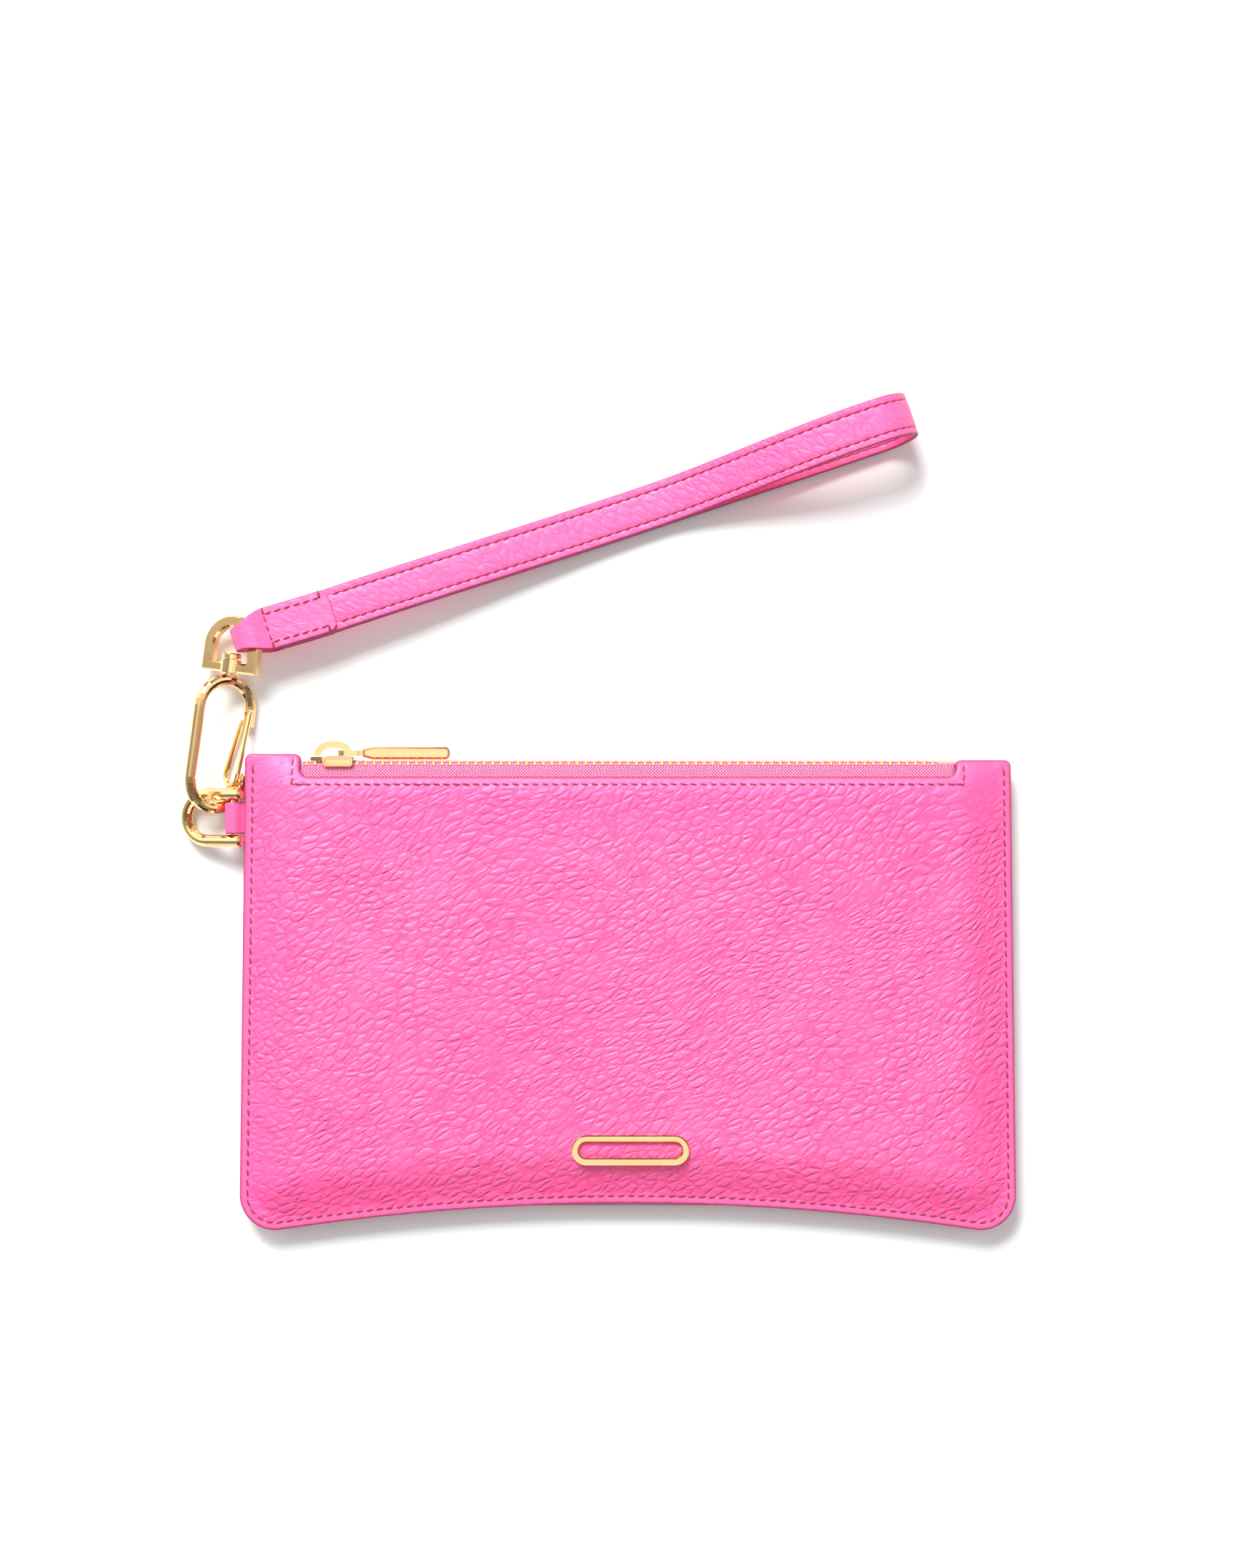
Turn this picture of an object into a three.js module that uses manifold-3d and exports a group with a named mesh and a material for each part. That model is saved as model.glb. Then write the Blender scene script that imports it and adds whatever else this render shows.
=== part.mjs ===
// Wristlet wallet: a flat zip pouch with a side ring, a swivel snap clip and a wrist strap.
// Millimetres. +X runs along the pouch, +Y towards the zip, +Z out of the front panel.
// The origin is the centre of the back panel's flat resting face, which lies at z = 0.
import * as THREE from 'three';
import { mergeVertices } from 'three/addons/utils/BufferGeometryUtils.js';
import Module from 'manifold-3d';

const wasm = await Module();
wasm.setup();

// ---------------------------------------------------------------- driving dimensions

// Pouch outline
const TOP_WIDTH = 208.4; // side to side at the zip
const BOTTOM_WIDTH = 211.6; // side to side at the lower corners
const TOP_LEFT_Y = 65; // height of the left upper corner
const TOP_RIGHT_Y = 63.3; // height of the right upper corner
const CORNER_Y = -66.2; // where the side and bottom edges would meet
const BOTTOM_Y = -57.3; // lowest point of the bottom edge at the middle
const BOTTOM_RADIUS = 630; // the bottom edge is a shallow concave arc
const LOWER_CORNER_RADIUS = 9.5;
const UPPER_CORNER_RADIUS = 1.5;
const MOUTH_WIDTH = 178.6; // notch that shows the zip
const MOUTH_Y = 58.7; // lower edge of the notch
const MOUTH_LIP_RADIUS = 1.2;
const MOUTH_CORNER_RADIUS = 0.5;

// Pouch thickness
const POUCH_THICKNESS = 11; // back face to front face at the middle
const LEATHER = 1.3; // front and back panels
const SEAM_GAP = 0.3; // between the two panels where they are sewn
const FLANGE = 3.2; // flat sewn border outside the swell
const SWELL_RUN = 8; // length of the slope from border to flat middle
const SWELL_PAST_MOUTH = 5.2; // how far past the mouth the slope would start
const SWELL_RADIUS = 10; // plan radius of the swell's corners
const LINING = 0.4;
const LINING_DROP = 1.0; // leather to lining, room for the ornament's washers

// Zip
const TAPE = 0.5; // thickness of the woven tape
const TAPE_WIDTH = 11.1; // from its top edge down inside the pouch
const TAPE_TOP_Y = 61.7;
const TAPE_PAST_TEETH = 0.15; // teeth to tape
const TAPE_NIP = 0.05; // the tape leans in by this much at the mouth
const TOOTH_PITCH = 2.3;
const TOOTH_LENGTH_X = 1.1;
const TOOTH_START = 0.3; // bead before the first tooth, in pitches
const TEETH_LOW_Y = 61.0;
const TEETH_HEIGHT = 2.0;
const TEETH_DEPTH = 1.3; // one row, front to back
const TEETH_SPLIT = 0.9; // slit between the rows, for the slider's divider
const RAIL_DEPTH = 0.5; // bead that carries one row of teeth
const TEETH_START_X = -88.6;
const STOP_LENGTH = 4.2;
const STOP_HEIGHT = 1.2;
const ZIP_CLEARANCE = 0.3;

// Slider
const SLIDER_X = -86.5; // left end when the zip is closed
const SLIDER_LENGTH = 11.9;
const SLIDER_NOSE = 3.3; // length without side wings
const SLIDER_PLATE = 1.0;
const SLIDER_CORNER = 0.8;
const SLIDER_SET_IN = 0.6; // lower plate shorter than the upper one
const SLIDER_WELD = 0.2; // overlap where the slider's parts are one piece
const SLIDER_WING = 0.5;
const SLIDER_WING_HEIGHT = 2.7;
const SLIDER_LOWER_WIDTH = 2.9;
const SLIDER_LOWER_PLATE = 0.8;
const DIVIDER_WIDTH = 0.4;
const DIVIDER_LENGTH = 2.5;
const BRIDGE_REACH = 4.55; // half length of the arch's centre line
const BRIDGE_HEIGHT = 4.4; // centre line above the arch's centre
const BRIDGE_SQUARENESS = 2.6; // 2 is an ellipse
const BRIDGE_STEPS = 18;
const BRIDGE_STOCK = 1.8;
const BRIDGE_WIDTH = 1.9;
const BRIDGE_DROP = 1.0; // centre of the arch below the plate's top
const BRIDGE_SET_IN = 0.85; // arch behind the slider's nose

// Puller
const EYE_THICKNESS = 1.4;
const EYE_WIDTH = 5.2;
const EYE_HOLE_WIDTH = 2.8;
const EYE_HOLE_LENGTH = 4.1;
const EYE_WALL = 1.1;
const PULL_LENGTH = 23.7;
const PULL_HEIGHT = 3.4;
const PULL_TAPER = 2.6; // length over which the bar widens
const PULL_START = 2.0; // height of the bar at the neck
const PULL_DEPTH = 4.0;
const PULL_LIFT = 0.3; // bar above the pouch's right upper corner
const NECK_LENGTH = 1.8;
const EYE_PLAY = 0.1; // eye's middle to the left of the bridge
const EYE_CORNER = 2;
const EYE_HOLE_CORNER = 0.9;
const EYE_SHOULDER = 0.6; // where the eye narrows to the neck
const NECK_SUNK = 1; // neck inside the bar
const PULL_BEVEL = 0.6;
const PULL_END_RADIUS = 1.4;
const PULL_NECK_RADIUS = 0.7;

// Ornament on the front panel
const ORNAMENT_X = 0.7;
const ORNAMENT_Y = -42.3;
const ORNAMENT_LENGTH = 31.9;
const ORNAMENT_HEIGHT = 8.1;
const ORNAMENT_STROKE = 1.9;
const ORNAMENT_THICKNESS = 1.2;
const RIVET_RADIUS = 0.7;
const WASHER_RADIUS = 2.4;
const WASHER_THICKNESS = 0.5;
const RIVET_CLEARANCE = 0.2;
const RIVET_SUNK = 0.5; // rivet inside the ring's metal
const ORNAMENT_BEVEL = 0.3;
const ORNAMENT_GAP = 0.05; // ring to leather
const WASHER_GAP = 0.1; // washer to leather

// Side tab and ring
const TAB_Y = 47.6; // middle of the tab on the left side
const TAB_WIDTH = 8.5;
const TAB_LEATHER = 0.7;
const TAB_DEPTH_IN_SEAM = 3.3;
const TAB_LOOP_PAST_PIN = 0.6;
const TAB_CLEARANCE = 0.25;
const TAB_PAST_EDGE = 0.6; // the tab runs straight this far past the pouch's edge
const TAB_EASE = 0.1; // extra leather round the pin
const RING_Y = 47.75;
const PIN_X = -107.4;
const PIN_Z = 7.4;
const PIN_RADIUS = 0.6;
const PIN_CLEARANCE = 0.3;
const RING_WIRE = 3.4; // wire diameter
const RING_WIDTH = 12.7; // between the legs' centre lines
const RING_LENGTH = 14.45; // pin to the far side's centre line
const RING_HEEL = 2.6; // legs past the pin
const RING_HEEL_CHAMFER = 0.6;
const RING_TILT = THREE.MathUtils.degToRad(22.8);

// Snap clip
const CLIP_X = -111;
const CLIP_Y = 67.8;
const CLIP_Z = 6.7;
const CLIP_LEAN = THREE.MathUtils.degToRad(7.6);
const CLIP_ROLL = THREE.MathUtils.degToRad(36);
const CLIP_WIRE = 3.2;
const CLIP_WIDTH = 15.6; // centre line to centre line
const CLIP_LENGTH = 35.3; // centre line to centre line
const STUB_END = 5.6; // lower end of the stub that carries the gate
const NOSE_END = -9.4;
const KNOB_RADIUS = 2.1;
const STUB_FLAT = 0.9; // half thickness of the milled stub
const GATE_WIRE = 1.44;
const GATE_CLEARANCE = 0.35;
const GATE_PEG_RADIUS = 0.45; // pivot end of the gate, inside the stub
const PEG_TIP = 0.2; // peg's end past the stub's mid plane
const KNOB_PAST_END = 0.3; // knob's centre past the end of the wire
const STUB_SHOULDER = 0.4; // milled flat past the gate's pivot end
const GATE_PIVOT_X = 6.9;
const GATE_PIVOT_Y = 9.2;
const GATE_OTHER_END_Y = 6.6;
const GATE_FOOT_X = 4.65;
const GATE_FOOT_Y = -10.9;
const GATE_FOOT_RADIUS = 3.3;

// Swivel
const HEAD_ROLL = THREE.MathUtils.degToRad(-22);
const HEAD_WIDTH = 16.9;
const HEAD_HEIGHT = 15.7;
const HEAD_LEG = 3.2;
const HEAD_DEPTH = 3.2;
const HEAD_BASE = 2.8;
const HEAD_BEVEL = 0.5;
const HEAD_GAP = 0.35; // clip to the head's base
const BOSS_RADIUS = 2.9;
const BOSS_HEIGHT = 3.6;
const STEM_RADIUS = 1.5;
const STEM_CLEARANCE = 0.3;
const CAP_RADIUS = 2.6;
const CAP_THICKNESS = 1.5;
const CAP_BEVEL = 0.4;

// Wrist strap
const STRAP_TURN = THREE.MathUtils.degToRad(18.6);
const STRAP_ROLL = THREE.MathUtils.degToRad(-4); // leans with the ring's arch
const STRAP_SHIFT = 0.6; // along the arch, away from the head's base
const STRAP_WIDTH = 11.8;
const STRAP_REACH = 188.3; // ring bar to the far end of the loop
const STRAP_PLY = 0.8;
const PLY_GAP = 0.1;
const BAND_GAP = 0.3; // between the two ends of the band inside the tab
const LOOP_HEIGHT = 20; // loop standing on the table
const LOOP_START = 0.6; // where the two bands part, as a share of the reach
const SHOULDER_ANGLE = THREE.MathUtils.degToRad(28.3); // where the tab sits on the head's arch
const KEEPER_LEATHER = 1.0;
const KEEPER_GAP = 0.2;
const KEEPER_LOOP = 4.6; // centre-line radius of the loop round the bar
const KEEPER_LOOP_REACH = 5.9; // fold past the bar
const KEEPER_STITCH_X = 4.4; // first row of stitches
const KEEPER_END_X = 22.6;
const KEEPER_FOLD_WIDTH = 6.4;
const KEEPER_WIDTH = 11.7;
const KEEPER_CORNER = 2.4;
const KEEPER_SHOULDER = 3; // plan radius where the fold widens
const KEEPER_LOOP_OPEN = THREE.MathUtils.degToRad(62); // where the loop leaves the bar's far side
const KEEPER_RISE = 0.12; // the leather lifts this much just outside the stitches
const KEEPER_BLEND = 0.8; // length over which it lifts
const FOLD_STRAIGHT = 2.4; // full-narrow length of the fold
const BAND_START = 0.6; // band's ends behind the first stitches
const BAND_OFF_FLOOR = 0.1;

// ---------------------------------------------------------------- derived places

const SEAM_Z = POUCH_THICKNESS / 2;
const SWELL_RISE = POUCH_THICKNESS / 2 - LEATHER - SEAM_GAP / 2;
const TOP_HALF = TOP_WIDTH / 2;
const BOTTOM_HALF = BOTTOM_WIDTH / 2;
const MOUTH_HALF = MOUTH_WIDTH / 2;
const TEETH_HIGH_Y = TEETH_LOW_Y + TEETH_HEIGHT;
const TEETH_OUTER = TEETH_SPLIT / 2 + TEETH_DEPTH; // from the mid plane
const STOP_X = MOUTH_HALF - ZIP_CLEARANCE - STOP_LENGTH;
const PLATE_LOW_Y = TEETH_HIGH_Y + ZIP_CLEARANCE;
const PLATE_HIGH_Y = PLATE_LOW_Y + SLIDER_PLATE;
const TAPE_MID = TEETH_OUTER + TAPE_PAST_TEETH + TAPE / 2; // tape beside the teeth, from the mid plane
const WING_INNER = TAPE_MID + TAPE / 2 + ZIP_CLEARANCE;
const BRIDGE_X = SLIDER_X + BRIDGE_REACH + BRIDGE_STOCK / 2 + BRIDGE_SET_IN;
const BRIDGE_Y = PLATE_HIGH_Y - BRIDGE_DROP;
const PULL_LOW_Y = TOP_RIGHT_Y + PULL_LIFT;
const HEAD_LOW = CLIP_LENGTH / 2 + CLIP_WIRE / 2 + HEAD_GAP; // head's base above the clip's middle

// ---------------------------------------------------------------- helpers

const GOLD = { color: 0xf0d9a8, roughness: 0.25, metalness: 1 };
const PINK_LEATHER = { color: 0xfb7fbd, roughness: 0.55, metalness: 0 };
const PINK_FABRIC = { color: 0xfb9fcf, roughness: 0.85, metalness: 0 };

const group = new THREE.Group();

function addMesh(parent, name, geometry, look) {
  const mesh = new THREE.Mesh(geometry, new THREE.MeshStandardMaterial(look));
  mesh.name = name;
  parent.add(mesh);
  return mesh;
}

function toSolid(geometry) {
  const bare = geometry.clone();
  bare.deleteAttribute('normal');
  bare.deleteAttribute('uv');
  const merged = mergeVertices(bare, 1e-5);
  return new wasm.Manifold(new wasm.Mesh({
    numProp: 3,
    vertProperties: new Float32Array(merged.attributes.position.array),
    triVerts: new Uint32Array(merged.index.array),
  }));
}

function toGeometry(solid) {
  const mesh = solid.getMesh();
  const geometry = new THREE.BufferGeometry();
  geometry.setAttribute('position', new THREE.BufferAttribute(mesh.vertProperties, 3));
  geometry.setIndex(new THREE.BufferAttribute(mesh.triVerts, 1));
  return geometry;
}

// A flat shape raised along +Z from low to high.
function prism(shape, low, high, segments = 6) {
  const geometry = new THREE.ExtrudeGeometry(shape, {
    depth: high - low,
    bevelEnabled: false,
    curveSegments: segments,
  });
  return geometry.translate(0, 0, low);
}

// The same with chamfered rims at both ends.
function bevelled(shape, low, high, bevel, segments = 6) {
  const geometry = new THREE.ExtrudeGeometry(shape, {
    depth: high - low - 2 * bevel,
    bevelThickness: bevel,
    bevelSize: bevel,
    bevelOffset: -bevel,
    bevelSegments: 1,
    curveSegments: segments,
  });
  return geometry.translate(0, 0, low + bevel);
}

function box(x0, x1, y0, y1, z0, z1) {
  const geometry = new THREE.BoxGeometry(x1 - x0, y1 - y0, z1 - z0);
  return geometry.translate((x0 + x1) / 2, (y0 + y1) / 2, (z0 + z1) / 2);
}

function cylinder(radius, length, sides = 16) {
  return new THREE.CylinderGeometry(radius, radius, length, sides);
}

// A closed outline through corners given as [x, y, radius].
function roundedShape(corners) {
  const shape = new THREE.Shape();
  corners.forEach(([x, y, radius], i) => {
    const here = new THREE.Vector2(x, y);
    const before = corners[(i + corners.length - 1) % corners.length];
    const after = corners[(i + 1) % corners.length];
    const back = new THREE.Vector2(before[0], before[1]).sub(here).normalize();
    const on = new THREE.Vector2(after[0], after[1]).sub(here).normalize();
    const half = Math.acos(THREE.MathUtils.clamp(back.dot(on), -1, 1)) / 2;
    if (!radius) {
      if (i) shape.lineTo(x, y);
      else shape.moveTo(x, y);
      return;
    }
    const reach = radius / Math.tan(half);
    const start = here.clone().addScaledVector(back, reach);
    const end = here.clone().addScaledVector(on, reach);
    const toCentre = back.clone().add(on).normalize();
    const centre = here.clone().addScaledVector(toCentre, radius / Math.sin(half));
    if (i) shape.lineTo(start.x, start.y);
    else shape.moveTo(start.x, start.y);
    const from = Math.atan2(start.y - centre.y, start.x - centre.x);
    const to = Math.atan2(end.y - centre.y, end.x - centre.x);
    shape.absarc(centre.x, centre.y, radius, from, to, back.cross(on) > 0);
  });
  shape.closePath();
  return shape;
}

// A route through given points, with one step of a sweep from each point to the next.
class Route extends THREE.Curve {
  constructor(points) {
    super();
    this.points = points;
  }

  getPoint(t, target = new THREE.Vector3()) {
    const last = this.points.length - 1;
    const place = THREE.MathUtils.clamp(t, 0, 1) * last;
    const index = Math.min(Math.floor(place), last - 1);
    return target.lerpVectors(this.points[index], this.points[index + 1], place - index);
  }

  getUtoTmapping(u) {
    return u;
  }
}

function roundWire(points, diameter, sides) {
  const section = new THREE.Shape();
  section.absarc(0, 0, diameter / 2, 0, Math.PI * 2, false);
  return new THREE.ExtrudeGeometry(section, {
    steps: points.length - 1,
    extrudePath: new Route(points),
    curveSegments: sides / 2, // an arc gets two points for each curve segment
    bevelEnabled: false,
  });
}

function arcPoints(x, y, radius, from, to, steps) {
  return Array.from({ length: steps + 1 }, (_, i) => {
    const angle = from + ((to - from) * i) / steps;
    return new THREE.Vector3(x + radius * Math.cos(angle), y + radius * Math.sin(angle), 0);
  });
}

// A strip of even thickness along a flat centre line, as an outline.
function stripShape(line, thickness) {
  const sides = [[], []];
  line.forEach((point, i) => {
    const before = line[Math.max(i - 1, 0)];
    const after = line[Math.min(i + 1, line.length - 1)];
    const along = after.clone().sub(before).normalize();
    const across = new THREE.Vector2(-along.y, along.x).multiplyScalar(thickness / 2);
    sides[0].push(point.clone().add(across));
    sides[1].push(point.clone().sub(across));
  });
  return new THREE.Shape([...sides[0], ...sides[1].reverse()]);
}

// A profile in x and z, given depth along y.
function acrossY(shape, width, segments = 6) {
  return prism(shape, -width / 2, width / 2, segments).rotateX(Math.PI / 2);
}

// ---------------------------------------------------------------- pouch

function bottomArc(inset, cornerRadius) {
  const steps = 14;
  const half = BOTTOM_HALF - inset - 1.25 * cornerRadius;
  return Array.from({ length: steps + 1 }, (_, i) => {
    const x = -half + (2 * half * i) / steps;
    const sag = BOTTOM_RADIUS - Math.sqrt(BOTTOM_RADIUS ** 2 - x ** 2);
    return [x, BOTTOM_Y - sag + inset, 0];
  });
}

function panelOutline() {
  return roundedShape([
    [-BOTTOM_HALF, CORNER_Y, LOWER_CORNER_RADIUS],
    ...bottomArc(0, LOWER_CORNER_RADIUS),
    [BOTTOM_HALF, CORNER_Y, LOWER_CORNER_RADIUS],
    [TOP_HALF, TOP_RIGHT_Y, UPPER_CORNER_RADIUS],
    [MOUTH_HALF, TOP_RIGHT_Y, MOUTH_LIP_RADIUS],
    [MOUTH_HALF, MOUTH_Y, MOUTH_CORNER_RADIUS],
    [-MOUTH_HALF, MOUTH_Y, MOUTH_CORNER_RADIUS],
    [-MOUTH_HALF, TOP_LEFT_Y, MOUTH_LIP_RADIUS],
    [-TOP_HALF, TOP_LEFT_Y, UPPER_CORNER_RADIUS],
  ]);
}

// The pouch's swell: full outline up to base, then sloping in to a flat top.
function swell(base, below = 10) {
  const high = MOUTH_Y + SWELL_PAST_MOUTH;
  const shape = roundedShape([
    [-BOTTOM_HALF + FLANGE, CORNER_Y + FLANGE, SWELL_RADIUS],
    ...bottomArc(FLANGE, SWELL_RADIUS),
    [BOTTOM_HALF - FLANGE, CORNER_Y + FLANGE, SWELL_RADIUS],
    [TOP_HALF - FLANGE, high, SWELL_RADIUS],
    [-TOP_HALF + FLANGE, high, SWELL_RADIUS],
  ]);
  const geometry = new THREE.ExtrudeGeometry(shape, {
    depth: below,
    bevelThickness: SWELL_RISE,
    bevelSize: SWELL_RUN,
    bevelOffset: -SWELL_RUN,
    bevelSegments: 1,
    curveSegments: 6,
  });
  return toSolid(geometry.translate(0, 0, base - below));
}

// Heights here are counted from the seam's mid plane, for the front half.
function panelSolid() {
  const low = SEAM_GAP / 2;
  const sheet = toSolid(prism(panelOutline(), low, low + LEATHER));
  const outline = toSolid(prism(panelOutline(), low, POUCH_THICKNESS));
  return sheet.add(swell(low + LEATHER)).intersect(outline).subtract(swell(low));
}

function liningSolid() {
  const low = SEAM_GAP / 2;
  const edge = TAPE_TOP_Y - TAPE_WIDTH - ZIP_CLEARANCE;
  const keep = toSolid(box(-BOTTOM_HALF, BOTTOM_HALF, CORNER_Y, edge, low, POUCH_THICKNESS));
  const outer = swell(low - LINING_DROP);
  return outer.subtract(swell(low - LINING_DROP - LINING)).intersect(keep);
}

function rivetXs() {
  const reach = ORNAMENT_LENGTH / 2 - ORNAMENT_STROKE / 2;
  return [ORNAMENT_X - reach, ORNAMENT_X + reach];
}

function seamPocket() {
  const half = TAB_LEATHER + TAB_CLEARANCE;
  return toSolid(box(
    -BOTTOM_HALF, -TOP_HALF + TAB_DEPTH_IN_SEAM + TAB_CLEARANCE,
    TAB_Y - TAB_WIDTH / 2 - TAB_CLEARANCE, TAB_Y + TAB_WIDTH / 2 + TAB_CLEARANCE,
    -half, half,
  ));
}

function rivetHole(x) {
  const hole = cylinder(RIVET_RADIUS + RIVET_CLEARANCE, POUCH_THICKNESS);
  return toSolid(hole.rotateX(Math.PI / 2).translate(x, ORNAMENT_Y, POUCH_THICKNESS / 2));
}

function buildPouch(pouch) {
  const panel = panelSolid().subtract(seamPocket());
  const lining = liningSolid();
  let front = panel;
  for (const x of rivetXs()) front = front.subtract(rivetHole(x));
  addMesh(pouch, 'front_panel', toGeometry(front), PINK_LEATHER);
  addMesh(pouch, 'lining_front', toGeometry(lining), PINK_FABRIC);
  // the back half is the front half's mirror image in the seam's mid plane
  addMesh(pouch, 'back_panel', toGeometry(panel.mirror([0, 0, 1])), PINK_LEATHER);
  addMesh(pouch, 'lining_back', toGeometry(lining.mirror([0, 0, 1])), PINK_FABRIC);
}

// ---------------------------------------------------------------- zip

function tapeGeometry(side) {
  const slope = SWELL_RISE / SWELL_RUN / 4; // a quarter of the leather's own slope
  const inside = MOUTH_Y - (TAPE_TOP_Y - TAPE_WIDTH);
  const line = [
    new THREE.Vector2(TAPE_TOP_Y, TAPE_MID),
    new THREE.Vector2(MOUTH_Y, TAPE_MID - TAPE_NIP),
    new THREE.Vector2(MOUTH_Y - inside, TAPE_MID - TAPE_NIP + inside * slope),
  ].map((p) => new THREE.Vector2(p.x, side * p.y));
  const half = MOUTH_HALF - ZIP_CLEARANCE;
  const strip = prism(stripShape(line, TAPE), -half, half);
  // the profile's x and y become Y and Z, and its depth runs along X
  return strip.rotateY(Math.PI / 2).rotateX(Math.PI / 2);
}

// One row of teeth on its bead, as a comb whose teeth point at the mid plane.
function teethGeometry(side) {
  const end = STOP_X - ZIP_CLEARANCE;
  const shift = side > 0 ? 0 : TOOTH_PITCH / 2;
  const outer = TEETH_OUTER * side;
  const inner = (TEETH_OUTER - RAIL_DEPTH) * side;
  const tip = (TEETH_SPLIT / 2) * side;
  const comb = new THREE.Shape();
  comb.moveTo(TEETH_START_X, outer);
  comb.lineTo(TEETH_START_X, inner);
  const count = Math.floor((end - TEETH_START_X - shift) / TOOTH_PITCH);
  for (let i = 0; i < count; i += 1) {
    const x = TEETH_START_X + shift + (i + TOOTH_START) * TOOTH_PITCH;
    comb.lineTo(x, inner);
    comb.lineTo(x, tip);
    comb.lineTo(x + TOOTH_LENGTH_X, tip);
    comb.lineTo(x + TOOTH_LENGTH_X, inner);
  }
  comb.lineTo(end, inner);
  comb.lineTo(end, outer);
  comb.closePath();
  // the comb's x and y become X and Z
  return prism(comb, -TEETH_HIGH_Y, -TEETH_LOW_Y).rotateX(Math.PI / 2);
}

function buildZip(pouch) {
  addMesh(pouch, 'zip_tape_front', tapeGeometry(1), PINK_FABRIC);
  addMesh(pouch, 'zip_tape_back', tapeGeometry(-1), PINK_FABRIC);
  addMesh(pouch, 'zip_teeth_front', teethGeometry(1), GOLD);
  addMesh(pouch, 'zip_teeth_back', teethGeometry(-1), GOLD);
  const stop = box(
    STOP_X, STOP_X + STOP_LENGTH, TAPE_TOP_Y + ZIP_CLEARANCE,
    TAPE_TOP_Y + ZIP_CLEARANCE + STOP_HEIGHT, -TEETH_OUTER, TEETH_OUTER,
  );
  addMesh(pouch, 'zip_bottom_stop', stop, GOLD);
}

function buildSlider(slider) {
  const right = SLIDER_X + SLIDER_LENGTH;
  const wing = WING_INNER + SLIDER_WING;
  const lowerTop = TEETH_LOW_Y - ZIP_CLEARANCE;
  const plate = [
    [SLIDER_X, -BRIDGE_WIDTH, SLIDER_CORNER],
    [SLIDER_X + SLIDER_NOSE, -wing, SLIDER_CORNER],
    [right, -wing, SLIDER_CORNER],
    [right, wing, SLIDER_CORNER],
    [SLIDER_X + SLIDER_NOSE, wing, SLIDER_CORNER],
    [SLIDER_X, BRIDGE_WIDTH, SLIDER_CORNER],
  ];
  let body = toSolid(prism(roundedShape(plate), -PLATE_HIGH_Y, -PLATE_LOW_Y).rotateX(Math.PI / 2));
  for (const side of [-1, 1]) {
    const low = Math.min(side * WING_INNER, side * wing);
    const wallX = SLIDER_X + SLIDER_NOSE + SLIDER_CORNER;
    body = body.add(toSolid(box(
      wallX, right - SLIDER_CORNER, PLATE_HIGH_Y - SLIDER_WING_HEIGHT, PLATE_HIGH_Y - SLIDER_WELD,
      low, low + SLIDER_WING,
    )));
  }
  const half = SLIDER_LOWER_WIDTH / 2;
  body = body.add(toSolid(box(
    SLIDER_X, right - SLIDER_SET_IN, lowerTop - SLIDER_LOWER_PLATE, lowerTop, -half, half,
  )));
  body = body.add(toSolid(box(
    SLIDER_X, SLIDER_X + DIVIDER_LENGTH, lowerTop - SLIDER_WELD, PLATE_HIGH_Y - SLIDER_WELD,
    -DIVIDER_WIDTH / 2, DIVIDER_WIDTH / 2,
  )));
  addMesh(slider, 'slider_body', toGeometry(body), GOLD);

  const line = [];
  for (let i = 0; i <= BRIDGE_STEPS; i += 1) {
    const turn = (Math.PI * i) / BRIDGE_STEPS;
    const reach = Math.abs(Math.cos(turn)) ** (2 / BRIDGE_SQUARENESS);
    const lift = Math.sin(turn) ** (2 / BRIDGE_SQUARENESS);
    const x = BRIDGE_X + Math.sign(Math.cos(turn)) * BRIDGE_REACH * reach;
    line.push(new THREE.Vector2(x, BRIDGE_Y + BRIDGE_HEIGHT * lift));
  }
  const side = BRIDGE_WIDTH / 2;
  const arch = toSolid(prism(stripShape(line, BRIDGE_STOCK), -side, side));
  const below = box(
    BRIDGE_X - SLIDER_LENGTH, BRIDGE_X + SLIDER_LENGTH, BRIDGE_Y - BRIDGE_HEIGHT,
    PLATE_HIGH_Y + ZIP_CLEARANCE, -BRIDGE_WIDTH, BRIDGE_WIDTH,
  );
  addMesh(slider, 'slider_bridge', toGeometry(arch.subtract(toSolid(below))), GOLD);
}

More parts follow.
